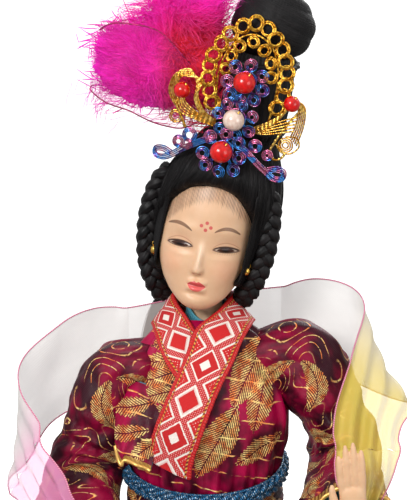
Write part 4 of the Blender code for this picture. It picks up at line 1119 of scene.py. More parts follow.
def make_headdress():
    rosette("rosette_lower_wire", "rosette_lower", (0.8, -15.6, 38.0),
            [(-4.6, 36.0), (-3.2, 33.0), (0.5, 31.8), (4.3, 33.2), (5.3, 36.8), (4.4, 40.6), (0.8, 42.3),
             (-3.4, 40.6)], 1.75)
    rosette("rosette_middle_wire", "rosette_middle", (2.0, -12.4, 46.4),
            [(-2.9, 46.7), (-1, 49.6), (3.0, 49.9), (6.2, 47.6), (6.0, 43.6), (2.6, 41.9), (-1.8, 42.8)], 1.6)
    rosette("rosette_upper_wire", "rosette_upper", (2.8, -11.3, 56.6),
            [(-2.3, 55.4), (-1.1, 52.1), (2.1, 50.9), (5.6, 52.0), (7.4, 55.0), (6.6, 58.6), (3.2, 60.9),
             (-0.9, 59.6)], 1.75)
    red = bead_paint("red_bead", (226, 4, 0), (176, 2, 0), 0.16, 0.2)
    pearl = bead_paint("pearl_bead", (232, 212, 196), (208, 176, 160), 0.18, 0.9)
    mount_bead("bead_lower_turned", "bead_lower", (0.8, -19.0, 38.0), 2.95, red, "bead")
    mount_bead("pearl_turned", "pearl_middle", (2.0, -15.8, 46.4), 2.9, pearl, "pearl")
    mount_bead("bead_upper_turned", "bead_upper", (2.8, -14.7, 56.6), 2.95, red, "bead")
    mount_bead("bead_left_turned", "bead_left_wing", (15.9, -12.2, 53.3), 2.2, red, "bead")
    mount_bead("bead_right_turned", "bead_right_wing", (-13.7, -12.2, 50.6), 2.2, red, "bead")

    def chain(places, radius):
        """Twisted wire rings overlapping in a row."""
        b = Build()
        for k, (x, z) in enumerate(places):
            for turn, r in enumerate((radius, radius - 0.46)):
                wire_ring(b, x, -8.9 - 0.5 * turn + (0.5 if k % 2 else -0.3), z, r, 0.27,
                          (0.22 * (-1) ** k, 0.2), 0.92, k,
                          34, 9, ridges=3, depth=0.26, turns=5.5)
        return b

    left = [(-5.6, 48.5), (-7.0, 51.5), (-7.9, 54.7), (-8.2, 57.9), (-7.6, 61.2), (-6.2, 64.4), (-4.2, 67.6),
            (-1.3, 70.2)]
    right = [(2.1, 71.8), (5.4, 70.8), (8.0, 68.6), (10.2, 66.2), (11.7, 63.4), (12.6, 60.4), (13.0, 57.2),
             (12.7, 54.0), (11.8, 50.8)]
    b = chain(left + right, 2.05)
    edge = [(-3.9, -8.6, 42), (-5.0, -8.6, 50), (-5.4, -8.6, 58), (-3.0, -8.6, 65.2), (1.8, -8.6, 68.6),
            (7.0, -8.6, 66.6),
            (10.0, -8.6, 60.8), (10.7, -8.6, 53), (9.6, -8.6, 43)]
    wires(b, [edge], 0.26, 8, 90, ridges=3, depth=0.2, turns=5)
    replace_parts(b.make("gold_arch", GOLD, "head", "gold"), "filigree_arch")
    b = chain([(-3.6, 58.2), (-2.9, 61.8), (-1.1, 64.9), (2.2, 66.6), (5.6, 65.1), (7.8, 62.0), (8.7, 58.4)],
              1.6)
    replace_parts(b.make("gold_inner", GOLD, "head", "gold"), "filigree_inner")

    y = -8.0
    b = Build()
    fan = []
    for k in range(5):
        o = k * 0.85
        fan.append([(-4.1, y - 1, 42.6 + o * 0.35), (-7.6, y - 1.4, 44.4 + o * 0.5),
                    (-10.4 + o * 0.15, y - 1.6, 48.4 + o * 0.5), (-10.6 + o * 0.5, y - 1.4, 52.6 + o * 0.4),
                    (-13.2, y - 1.0, 56.0 - o * 0.6), (-17.0 + o * 0.5, y - 0.8, 53.6 - o * 0.1),
                    (-17.8 + o * 0.6, y - 0.6, 49.0 + o * 0.2), (-15.4 + o * 0.5, y - 0.6, 45.4 + o * 0.3)])
        fan.append([(-4.2, y - 0.8, 42.2 + o * 0.3), (-9.0, y - 1.2, 43.0 + o * 0.55),
                    (-13.6 + o * 0.2, y - 1.2, 44.2 + o * 0.9), (-15.8 + o * 0.6, y - 1.0, 47.0 + o)])
    wires(b, fan, 0.23, 8, 60)
    wires(b, [[(-15.8, y - 0.5, 46.7), (-11.7, y - 0.5, 40.2)]], 0.42, 8, 24, ridges=3, depth=0.25, turns=4)
    for r in (1.7, 1.2):
        wire_ring(b, -14.9, y, 42.5, r, 0.22)
    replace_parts(b.make("right_wing_wire", GOLD_BRIGHT, "head", "gold"), "right_wing")
    b = Build()
    fan = []
    for k in range(5):
        o = k * 0.85
        fan.append([(6.4, y - 1, 43.0 + o * 0.3), (9.6 + o * 0.2, y - 1.4, 44.6 + o * 0.6),
                    (12.9 + o * 0.2, y - 1.6, 48.0 + o * 0.5), (16.2 - o * 0.2, y - 1.4, 53.2 + o * 0.2),
                    (19.0 - o * 0.5, y - 1.0, 52.4 - o * 0.1), (19.6 - o * 0.6, y - 0.8, 47.6),
                    (18.7 - o * 0.6, y - 0.8, 41.8 + o * 0.5)])
        fan.append([(6.6, y - 0.8, 42.6 + o * 0.1), (10.4, y - 1.2, 43.2 + o * 0.7),
                    (14.4, y - 1.2, 44.6 + o * 1.0), (17.4, y - 1.0, 45.6 + o * 1.1)])
    fan.append([(15.4, y - 0.6, 43.6), (18.4, y - 0.6, 43.8), (19.4, y - 0.6, 41.6), (17.6, y - 0.6, 39.4),
                (15.0, y - 0.6, 39.2), (13.2, y - 0.6, 41.0)])
    wires(b, fan, 0.23, 8, 60)
    wires(b, [[(17.7, y - 0.6, 50.8), (15.0, y - 0.6, 46.4), (12.7, y - 0.7, 41.3), (11.8, y - 0.7, 38.1),
               (13.9, y - 0.6, 36.8), (15.9, y - 0.6, 38.7), (13.8, y - 0.6, 40.6)]],
          0.34, 8, 70, ridges=3, depth=0.22, turns=4)
    for r in (1.9, 1.35, 0.8):
        wire_ring(b, 15.7, y, 41.2, r, 0.22)
    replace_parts(b.make("left_wing_wire", GOLD_BRIGHT, "head", "gold"), "left_wing")

    for side, line, curls in (
        ("right", [(-2.3, -15.0, 40.4), (-4.8, -14.9, 39.4), (-7.3, -14.2, 37.7), (-10.8, -12.4, 35.2),
                   (-13.9, -10.0, 32.4), (-16.4, -8.4, 30.9),
                   (-18.6, -7.6, 31.0), (-18.8, -7.5, 32.6), (-16.6, -8.4, 33.2), (-14.2, -9.8, 32.8)],
                   [(-9.3, -13.4, 39.5, 1.9), (-12.2, -11.8, 36.8, 1.6)]),
        ("left", [(5.3, -14.8, 39.4), (6.9, -14.4, 38.4), (8.3, -13.8, 37.1), (10.6, -12.4, 35.0),
                  (12.3, -11.0, 33.6), (14.4, -9.8, 32.0),
                  (16.6, -8.6, 32.2), (16.6, -8.6, 34.0), (14.6, -9.6, 34.6), (12.6, -10.8, 34.0)],
                  [(8.6, -13.6, 40.4, 1.7), (11.9, -11.6, 38.2, 1.4)]),
    ):
        b = Build()
        base = spline(line, 90)
        _, across, _ = frames(base, (0, 0, 1))
        for k in range(4):
            shift = across * ((k - 1.5) * 0.46)
            shift[:, 1] -= 0.12 * (k % 2)
            b.tube(on_head(base + shift), 0.2, 7)
        for x, cy, z, r in curls:
            for turn in range(3):
                wire_ring(b, x, cy - 0.15 * turn, z, r - 0.42 * turn, 0.21)
        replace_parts(b.make(f"{side}_brow_wire", IRIS, "head", "iris"), f"{side}_brow_scroll")


def make_ribbon():
    """The wired ribbon loop behind the headdress, and the marabou plume in it."""
    centre = [(-8, 0.4, 45), (-15, -3.6, 47.5), (-25, -6.6, 52.0), (-35, -6.2, 52.6), (-41.3, 0.4, 51.4),
              (-36, 7.6, 52.8), (-24, 8.6, 52.4), (-9, 5.2, 49)]
    halves = [3.0, 8.4, 12.8, 10.6, 7.4, 10.4, 11.5, 4]
    line = spline(np.hstack([np.array(centre, float), np.array(halves, float)[:, None]]), 160)
    t = np.linspace(-1, 1, 34)
    s = run_length(line[:, :3])
    p = np.repeat(line[:, None, :3], 34, 1)
    p[..., 2] += line[:, 3:] * t + 0.9 * np.sin(s * 0.22)[:, None] * t
    ripple = (0.55 * np.sin(s[:, None] * 0.55 + t * 1.3)
              + 0.3 * hash_noise(s[:, None] * 0.3 + 0 * t, t * 3 + 0 * s[:, None]))
    p[..., 1] += ripple * np.where(s[:, None] < s[-1] * 0.5, -1, 1)
    uv = np.stack([t[None, :] * line[:, 3:], s[:, None] + 0 * t], -1)
    paint = organza_paint("ribbon_organza", (232, 10, 190), (222, 40, 140), (0, 90), alpha=0.16)
    b = Build().grid(on_head(p), uv)
    for k in (0, -1):
        b.tube(on_head(p[:, k]), 0.2, 7, slot=1)
    edge = metal_paint("ribbon_edge", (120, 20, 60), (206, 52, 120), 0.4, 0.3)
    obj = b.make("hair_ribbon_loop", [paint, edge], "head", "organza")
    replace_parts(obj, "hair_ribbon")

    fluff = Paint("marabou", rgb(236, 24, 160), 0.9, sheen=0.3)
    a, v = fluff.uv()
    x, y, z = fluff.place()
    warm = x.step(-16.0, -7.0) * z.step(299.0, 286.0)
    tone = ((a * 37.3).wrap(1.0))
    cool = x.step(-22.0, -40.0)
    base = fluff.mix(warm, fluff.mix(cool, fluff.mix(tone, rgb(244, 2, 160), rgb(255, 36, 206)),
                                     fluff.mix(tone, rgb(240, 0, 214), rgb(255, 24, 240))),
                                     fluff.mix(tone, rgb(222, 10, 40), rgb(250, 50, 84)))
    base = fluff.mix(v.step(0.6, 1.0) * 0.25, base, rgb(255, 96, 196))
    fluff.set("Base Color", base)
    fluff.set("Sheen Tint", rgb(255, 90, 220))
    fluff.bump(tone, 0.02)
    quill = spline([(-6, 1.6, 44), (-12, 1.2, 50), (-17, 1.0, 58), (-20, 1.0, 68), (-21.5, 1.2, 80)], 120)
    t = np.linspace(0, 1, 9)

    def lay_barbs(seat, aim, reach, wild, radius):
        """Soft barbs that lie with their neighbours, curling a little."""
        flow = np.stack([hash_noise(seat[:, 0] * 0.22, seat[:, 2] * 0.22, k) for k in (11, 12, 13)], -1)
        flow = flow * np.array([1.1, 0.5, 1.1])
        aim = unit(aim + flow + rng.normal(0, wild, seat.shape) * np.array([1, 0.5, 1]))
        curl = flow * 2.4 + rng.normal(0, 0.9, seat.shape) * np.array([1, 0.5, 1])
        paths = (seat[:, None] + aim[:, None] * (reach[:, None] * t)[..., None]
                 + curl[:, None] * (t**2)[None, :, None])
        wave = 0.35 * np.sin(t[None, :] * 8 + seat[:, :1] * 3)
        paths[..., 0] += wave * t
        paths[..., 2] += wave[:, ::-1] * t * 0.6
        return b.strands(on_head(paths), radius, 3)

    b = Build()
    count = 6500
    pick = rng.uniform(0.0, 1.0, count)
    seat = quill[(pick * 119).astype(int)] + rng.normal(0, 1, (count, 3)) * np.array([4.2, 1.6, 2.6])
    ahead = unit(np.gradient(quill, axis=0))[(pick * 119).astype(int)]
    side = seat - quill[(pick * 119).astype(int)]
    lay_barbs(seat, unit(side) * 0.9 + ahead * 0.9, rng.uniform(5.0, 9.5, count), 0.28,
              rng.uniform(0.05, 0.11, count))
    count = 5200
    ball = unit(rng.normal(0, 1, (count, 3))) * rng.uniform(0.3, 1, (count, 1)) ** 0.5
    seat = np.array([-25.5, 0.4, 52.4]) + ball * np.array([14.8, 6.6, 9.8])
    lay_barbs(seat, unit(ball + np.array([-0.1, 0, -0.1])) * np.array([1, 0.4, 0.8]),
              rng.uniform(2.0, 4.2, count), 0.3, rng.uniform(0.05, 0.11, count))
    # Stray wisps at the lower left.
    count = 200
    seat = np.array([-34.5, 0.0, 45.5]) + rng.normal(0, 1, (count, 3)) * np.array([4.0, 2.0, 3.2])
    lay_barbs(seat, np.array([-0.7, 0.0, -0.55]), rng.uniform(3.5, 7.0, count), 0.3,
              rng.uniform(0.04, 0.07, count))
    # Down packed round the quill and in the loop, under the loose barbs.
    for place, radii, seed in (((-26.4, 0.6, 52.6), (15.2, 5.6, 11.0), 1),
                               ((-18.5, 1.4, 66.0), (10.5, 4.0, 15.0), 2),
                               ((-12.5, 0.8, 54.0), (9.0, 4.0, 9.0), 3)):
        tt, aa = np.meshgrid(np.linspace(0.03, math.pi - 0.03, 70), circle(120), indexing="ij")
        tuft = 0.96
        for share, across, down, offset in ((0.09, 3, 4, 0), (0.06, 9, 13, 4), (0.03, 22, 34, 8)):
            tuft = tuft + share * hash_noise(np.sin(aa) * across, tt * down, seed + offset)
        q = np.stack([np.sin(tt) * np.cos(aa), np.sin(tt) * np.sin(aa), -np.cos(tt)], -1)
        q = q * tuft[..., None] * np.array(radii) + np.array(place)
        down_uv = uv_grid(np.arange(121) * 7.1, np.linspace(0.2, 0.3, 70))
        b.grid(on_head(q), down_uv, (False, True))
    # The soft down that fills the loop.
    inner = 2600
    seat = np.array([-24.5, 1.4, 53.5]) + rng.normal(0, 1, (inner, 3)) * np.array([7.2, 2.2, 4.6])
    aim = unit(rng.normal(0, 1, (inner, 3)) * np.array([1.4, 0.5, 0.8]) + np.array([-0.5, 0, 0.1]))
    paths = seat[:, None] + aim[:, None] * (rng.uniform(2.5, 6.5, inner)[:, None] * t)[..., None]
    paths = paths + (rng.normal(0, 1, (inner, 3)) * np.array([1, 0.4, 1]))[:, None] * (t**2)[None, :, None]
    b.strands(on_head(paths), rng.uniform(0.1, 0.22, inner), 3)
    b.tube(on_head(quill), np.linspace(0.55, 0.15, 120), 8)
    obj = b.make("marabou_plume", fluff, "head", "feather")
    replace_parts(obj, "feather_plume")


# ---- Robe ----
BODICE = np.array([(169.5, 19.5, 17.5, 15, 0.3), (177, 21.5, 20, 16.5, 0.18), (186, 22.3, 21, 17.5, 0.06),
                   (194, 20.6, 18.5, 17, 0),
                   (201, 18.0, 14.5, 16, 0), (206, 15.5, 11, 15, 0), (209.2, 12.0, 7.5, 13.4, 0),
                   (211.0, 9.4, 5.0, 12.4, 0)], float)


def body_rings(table, rows, count):
    """Points round the figure, with a table of z, half width, front, back and slope."""
    fine = spline(table, rows)
    a = circle(count)
    c, s = np.cos(a)[None, :], np.sin(a)[None, :]
    z, hw, front, back, slope = (fine[:, k][:, None] for k in range(5))
    y = np.where(s > 0, back, front) * s
    return np.stack([hw * c + 0 * s, y, z + slope * y], -1), a


def make_robe():
    """Returns the bodice as a surface that the collar lies on."""
    rows, count = 110, 300
    p, a = body_rings(BODICE, rows, count)
    v = np.linspace(0, 1, rows)[:, None]
    side = np.cos(a)[None, :]
    fall = np.abs(side) ** 1.4
    sway = 1.2 * hash_noise(a[None, :] * 3, v * 4)
    pleat = 0.75 * np.sin(a * 17 + v * 5.0 * np.sign(side) + sway) * (0.25 + 0.75 * fall)
    gather = 0.6 * np.sin(a * 34) * ease(v, 0.3, 0.02)
    crease = 0.8 * hash_noise(a[None, :] * 5 + v * 3, v * 6, 4)
    out = outward(p)
    p = p + out * ((pleat + crease + gather) * ease(v, 1.0, 0.9) + 0.25)[..., None]
    angle_mm = np.arange(count + 1) * TAU * 20 / count
    uv = uv_grid(angle_mm, np.linspace(0, 44, rows))
    spots = [
        ((12.5, 199.0), 1.05, (10.5, 4.6)), ((14.8, 190.5), 1.35, (8.0, 3.2)),
        ((3.2, 180.5), 1.05, (11.0, 4.4), (30, 8, 8)),
        ((14.5, 177.5), 0.5, (7.0, 2.6)), ((-9.0, 206.2), 0.35, (5.6, 1.9)),
        ((-10.4, 201.8), 0.35, (6.0, 1.9)),
        ((-12.0, 197.2), 0.35, (6.2, 2.0)), ((-13.6, 192.4), 0.35, (6.2, 2.0)),
        ((-14.6, 187.2), 0.3, (6.2, 2.1)), ((-16.0, 181.0), 0.6, (6.4, 2.3)),
    ]
    paint = brocade_paint("bodice_brocade", scatter=False, spots=spots, place=True)
    b = Build().grid(p, uv, (False, True))
    obj = b.make("robe_bodice_cloth", paint, "torso", "brocade")
    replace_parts(obj, "robe_bodice")
    plain, _ = body_rings(BODICE, 60, 120)
    return plain


def nearest_on(surface, p):
    """Nearest points of a grid surface, and its outward directions there."""
    from mathutils.bvhtree import BVHTree

    rows, count = surface.shape[:2]
    faces = [(k * count + i, k * count + (i + 1) % count, (k + 1) * count + (i + 1) % count,
              (k + 1) * count + i)
             for k in range(rows - 1) for i in range(count)]
    tree = BVHTree.FromPolygons([Vector(q) for q in surface.reshape(-1, 3)], faces)
    hits, outs = [], []
    for q in np.asarray(p).reshape(-1, 3):
        where, normal, _, _ = tree.find_nearest(Vector(q))
        if normal.dot(where - Vector((0, 0, where.z))) < 0:
            normal = -normal
        hits.append(where)
        outs.append(normal)
    shape = np.asarray(p).shape
    return np.array(hits).reshape(shape), np.array(outs).reshape(shape)


COLLAR_OVER = [
    ((0.4, 15.4, 208.5), (0.4, 12.6, 216.6), 0), ((8.6, 12.4, 208.8), (5.4, 10.0, 216.8), 0),
    ((13.2, 5.0, 209.8), (7.9, 4.2, 216.9), 0),
    ((12.8, -2.4, 210.4), (6.2, -2.0, 215.4), 0), ((9.6, -11.0, 206.5), (1.4, -7.4, 211.6), 1),
    ((7.1, -15.5, 201.4), (-2.2, -10.5, 208.2), 1),
    ((4.1, -18.5, 196.0), (-4.8, -15.5, 202.8), 1), ((1.8, -20.0, 190.9), (-7.6, -18.5, 196.9), 1),
    ((-0.5, -20.5, 184.7), (-10.1, -19.5, 190.8), 1),
    ((-2.9, -19.0, 176.8), (-12.4, -18.5, 183.6), 1), ((-3.6, -18.5, 171.6), (-13.9, -16.0, 176.4), 1),
]
COLLAR_UNDER = [
    ((-0.4, 15.4, 208.5), (-0.4, 12.6, 216.6), 0), ((-9.6, 12.0, 208.8), (-6.6, 9.8, 216.8), 0),
    ((-14.2, 4.6, 209.3), (-8.9, 4.0, 216.9), 0),
    ((-14.0, -1.6, 208.8), (-7.8, -1.4, 214.6), 0), ((-12.8, -7.6, 206.4), (-5.3, -5.4, 211.9), 0),
    ((-11.0, -12.0, 202.4), (-2.4, -10.5, 208.2), 1),
    ((-9.0, -14.5, 199.4), (0.5, -12.0, 204.8), 1), ((-6.0, -16.5, 195.6), (3.0, -14.5, 201.0), 1),
]


def trim_paint():
    """Woven band: white dots, diamonds and chevrons on red, with a specked gold strip inside each cord."""
    p = Paint("woven_trim", rgb(196, 22, 26), 0.75)
    u, v = p.uv()
    c = (u - 5.9).abs()
    grid = 0.5
    gu, gv = ((u - 5.9).wrap(grid) - grid / 2).abs(), (v.wrap(grid) - grid / 2).abs()
    dot = (gu + gv).step(0.2, 0.1)
    stitch = ((v * (TAU / 0.36)).sin() * 0.5 + 0.5)
    fringe = ((c * 2.0).wrap(0.42) * (1 / 0.42)).band(0.2, 0.7, 0.1)
    a = (v.wrap(21.6) - 5.4).abs()
    d_solid = a + c * 1.25
    far = ((v + 10.8).wrap(21.6) - 5.4).abs()
    d_open = far + c * 1.25
    red, dark, white = rgb(198, 14, 16), rgb(148, 10, 18), rgb(236, 226, 216)
    base = p.mix(dot * 0.85, p.mix(stitch * 0.35, red, dark), rgb(240, 190, 184))
    # Chevrons along both edges between the diamonds.
    gap = v.wrap(10.8)
    between = (gap.min(10.8 - gap))
    chevron = (between + (4.3 - c) * 1.2)
    base = p.mix(chevron.band(2.5, 3.3, 0.1), base, white)
    base = p.mix(chevron.step(2.4, 2.1), base, red)
    base = p.mix(chevron.band(0.9, 1.4, 0.1) * dot, base, white)
    base = p.mix(d_open.step(5.0, 4.8), base, white)
    base = p.mix(d_open.step(3.6, 3.4), base, red)
    base = p.mix(d_open.band(3.4, 4.1, 0.1) * fringe * 0.6, base, red)
    base = p.mix(d_solid.step(4.9, 4.6) * 1.0, base, p.mix(stitch * 0.3, red, dark))
    base = p.mix(d_solid.band(4.5, 5.1, 0.08), base, white)
    base = p.mix(d_solid.step(2.0, 1.8), base, white)
    strip = c.band(4.66, 5.12, 0.06)
    speck = ((v + c * 0.8).wrap(1.15) * (1 / 1.15)).band(0.1, 0.58, 0.1)
    base = p.mix(strip, base, p.mix(speck, rgb(110, 14, 16), rgb(222, 168, 74)))
    base = p.mix(c.step(5.15, 5.35), base, rgb(190, 10, 14))
    p.set("Base Color", base)
    p.set("Metallic", strip * speck * 0.3)
    return p.bump(stitch * 0.6 + dot * 0.5 + chevron.band(2.5, 3.3, 0.1) + d_open.band(3.4, 5.0, 0.1), 0.1)


def piping_paint():
    p = Paint("piping", rgb(200, 12, 16), 0.5)
    u, v = p.uv()
    ply = ((v * (TAU / 0.8) + u * TAU).sin() * 0.5 + 0.5)
    x, y, z = p.place()
    worn = p.noise(x, y, z, 3.0)
    p.set("Base Color", p.mix(ply * 0.6 + worn * 0.3, rgb(150, 6, 12), rgb(222, 26, 24)))
    return p.bump(ply, 0.12)


def make_collars(surface):
    trim, piping = trim_paint(), piping_paint()
    for name, node, rows, above in (("collar_under_band", "collar_under", COLLAR_UNDER, 1.2),
                                    ("collar_over_band", "collar_over", COLLAR_OVER, 2.9)):
        outer, inner, on = (np.array([r[k] for r in rows], float) for k in range(3))
        steps, wide = 190, 25
        lo, hi = spline(outer, steps), spline(inner, steps)
        on_robe = np.interp(np.linspace(0, 1, steps),
                            run_length((outer + inner) / 2) / run_length((outer + inner) / 2)[-1], on)
        t = np.linspace(0, 1, wide)
        p = lo[:, None] * (1 - t)[:, None] + hi[:, None] * t[:, None]
        hit, out = nearest_on(surface, p)
        lifted = hit + out * above
        w = ease(on_robe, 0.0, 1.0)[:, None, None]
        p = p * (1 - w) + lifted * w
        along = unit(np.gradient(p, axis=0))
        across = unit(np.gradient(p, axis=1))
        n = unit(np.cross(across, along))
        centre = np.array([0.6, 4.0, 190.0])
        n = np.where(((p - centre) * n).sum(-1, keepdims=True) < 0, -n, n)
        crown = 0.55 * (1 - (2 * t - 1) ** 4)
        p = p + n * crown[None, :, None]
        mid = run_length(p[:, wide // 2])
        uv = uv_grid(t * 11.8, mid + 3.2)
        b = Build().grid(p, uv)
        under = p - n * 0.9
        b.grid(under, uv, flip=True)
        b.grid(np.stack([p[-1], under[-1]]), np.stack([uv[-1], uv[-1]]))
        for k in (0, -1):
            b.tube(p[:, k] - n[:, k] * 0.35, 0.52, 10, slot=1)
        obj = b.make(name, [trim, piping], "torso", "trim")
        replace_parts(obj, node)

    p = Paint("teal_silk", rgb(52, 142, 164), 0.45, sheen=0.3)
    u, v = p.uv()
    rib = ((u * (TAU / 0.7)).sin() * 0.5 + 0.5)
    tone = p.noise(u * 0.4, v * 0.4, 0.0, 3.0)
    p.set("Base Color", p.mix(rib * 0.4 + tone * 0.5, rgb(24, 104, 130), rgb(92, 178, 192)))
    p.bump(rib + tone, 0.08)
    a = circle(120) - math.pi / 2
    front = np.maximum(0, np.cos(a + math.pi / 2)) ** 1.5
    rows = []
    for k, t in enumerate(np.linspace(0, 1, 26)):
        top_z = 214.8 - 4.8 * front
        low_z = 207.0 - 0.6 * front
        z = top_z * (1 - t) + low_z * t
        r = 5.55 + 1.5 * t**1.3 + 0.16 * np.sin(a * 20) * t
        lean = 5.2 * front * t**1.2
        rows.append(np.stack([0.6 - 1.6 * front * t + r * np.cos(a), 4.0 + r * np.sin(a) - lean, z], -1))
    uv = uv_grid(np.arange(121) * 0.33, np.linspace(0, 8, 26))
    b = Build().grid(np.array(rows), uv, (False, True))
    b.tube(rows[0], 0.35, 8, closed=True)
    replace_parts(b.make("teal_collar", p, "torso", "teal"), "inner_collar")


def make_belt():
    p = Paint("belt_gimp", rgb(36, 92, 140), 0.34, 0.55)
    u, v = p.uv()
    x, y, z = p.place()
    thread = ((v * (TAU / 0.42) + u * TAU * 2).sin() * 0.5 + 0.5)
    glint = p.noise(x * 1.9, y * 1.9, z * 1.9, 2.0)
    base = p.mix(thread, rgb(4, 26, 58), rgb(36, 116, 164))
    p.set("Base Color", p.mix(glint.step(0.54, 0.62) * thread, base, rgb(206, 224, 232)))
    p.bump(thread, 0.12)
    count = 460
    a = circle(count)
    reach = np.where(np.sin(a) > 0, 17.6, 20.0)
    turns = 15
    b = Build()
    for k in range(3):
        phase = a * turns + k * TAU / 3
        up = 1.25 * np.sin(phase)
        out = 0.55 * np.sin(2 * phase)
        rx, ry = 21.9 + out, reach + out
        y = ry * np.sin(a)
        path = np.stack([rx * np.cos(a), y, 169.8 + 0.3 * y + up], -1)
        b.tube(path, 0.86, 12, closed=True, ridges=5, depth=0.09, turns=1.6, first=(0, 0, 1))
    for z in (-1.9, 1.9):
        y = (reach - 0.3) * np.sin(a)
        path = np.stack([21.5 * np.cos(a), y, 169.8 + 0.3 * y + z], -1)
        b.tube(path, 0.42, 8, closed=True, ridges=3, depth=0.15, turns=3, first=(0, 0, 1))
    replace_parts(b.make("belt_plait", p, "torso", "teal"), "waist_braid")

    # The sash: wound cloth with lengthways pleats.
    rows, count = 40, 260
    table = np.array([(158.0, 21.1, 18.6, 18.6, 0.3), (161, 21.4, 18.8, 18.8, 0.3),
                      (164, 21.1, 18.4, 18.4, 0.3), (167.8, 20.7, 18.0, 18.0, 0.3)])
    p, a = body_rings(table, rows, count)
    v = np.linspace(0, 1, rows)[:, None]
    fold = 0.34 * np.sin(v * 26 + 1.5 * np.sin(a * 2)) + 0.2 * hash_noise(a[None, :] * 5, v * 3)
    out = outward(p)
    p = p + out * fold[..., None]
    uv = uv_grid(np.arange(count + 1) * TAU * 20 / count, np.linspace(0, 10, rows))
    paint = brocade_paint("sash_brocade", (96, 10, 34), (36, 6, 14), seed=5.0)
    obj = Build().grid(p, uv, (False, True)).make("waist_sash_cloth", paint, "torso", "brocade")
    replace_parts(obj, "waist_sash")


def make_skirt():
    table = np.array([(14.5, 47.5, 44, 44, 0), (60, 39.2, 36, 36, 0), (110, 29, 26, 26, 0),
                      (145, 21.6, 19, 19, 0.15), (158, 19.6, 16.8, 16.8, 0.3), (168, 19.0, 16.1, 16.1, 0.3)])
    rows, count = 150, 480
    p, a = body_rings(table, rows, count)
    v = np.linspace(0, 1, rows)[:, None]
    z = p[..., 2]
    depth = np.interp(z, [14, 60, 110, 145, 160], [2.6, 2.0, 1.2, 0.6, 0.25])
    wave = (np.sin(12 * a + 0.5 * np.sin(3 * a) + 0.6 * v) + 0.35 * np.sin(24 * a + 1.3 + 2 * v)
            + 0.25 * hash_noise(a[None, :] * 6, v * 5, 2))
    out = outward(p)
    p = p + out * (wave * depth * 0.8)[..., None]
    p[0, :, 2] = 14.5
    uv = uv_grid(np.arange(count + 1) * TAU * 34 / count, np.linspace(0, 160, rows))
    paint = brocade_paint("skirt_brocade", seed=2.0)
    lining = Paint("robe_lining", rgb(70, 10, 24), 0.7)
    u, w = lining.uv()
    lining.set("Base Color", lining.mix(lining.noise(u, w, 0.0), rgb(52, 8, 18), rgb(92, 14, 32)))
    lining.bump(((u * (TAU / 0.5)).sin() * (w * (TAU / 0.5)).sin()), 0.05)
    hem = Paint("hem_band", rgb(196, 146, 62), 0.4, 0.6)
    u, w = hem.uv()
    key = ((u * (TAU / 2.6)).sin().abs() - ((w * 0.9).sin().abs())).abs()
    hem.set("Base Color", hem.mix(key.step(0.18, 0.08), rgb(84, 10, 26), rgb(228, 178, 90)))
    hem.bump(key, 0.1)
    b = Build().grid(p, uv, (False, True))
    inside = p - out * 1.1
    b.grid(inside, uv, (False, True), slot=1, flip=True)
    band = p[2:9] + out[2:9] * 0.35
    b.grid(band, uv[2:9], (False, True), slot=2)
    b.tube(p[0], 0.62, 8, closed=True, slot=2, first=(0, 0, 1))
    for k in (2, 8):
        b.tube(p[k] + out[k] * 0.4, 0.4, 8, closed=True, slot=2, first=(0, 0, 1))
    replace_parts(b.make("robe_skirt_cloth", [paint, lining, hem], "torso", "brocade"), "robe_skirt")

    foam = Paint("packed_wadding", rgb(226, 220, 206), 0.95)
    x, y, z = foam.place()
    cell = foam.cells(x * 1.2, y * 1.2, z * 1.2)
    foam.set("Base Color", foam.mix(cell, rgb(198, 190, 172), rgb(238, 232, 220)))
    foam.bump(cell, 0.3)
    table = np.array([(15.2, 42.0, 38.4, 38.4, 0), (66, 34, 30.8, 30.8, 0), (110, 25.3, 22.6, 22.6, 0),
                      (147, 17.6, 15.2, 15.2, 0), (151, 16.6, 14.2, 14.2, 0)])
    p, a = body_rings(table, 60, 120)
    out = outward(p)
    bulge = 0.35 * np.abs(np.sin(a * 4)) + 0.2 * hash_noise(a[None, :] * 6, p[..., 2] * 0.1)
    p = p + out * (bulge - 0.3)[..., None]
    rings = [p[0] * np.array([0.1, 0.1, 1])] + list(p) + [p[-1] * np.array([0.22, 0.22, 1])]
    obj = Build().grid(np.array(rings), None, (False, True)).make("skirt_wadding", foam, "torso", "foam")
    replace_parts(obj, "skirt_form")


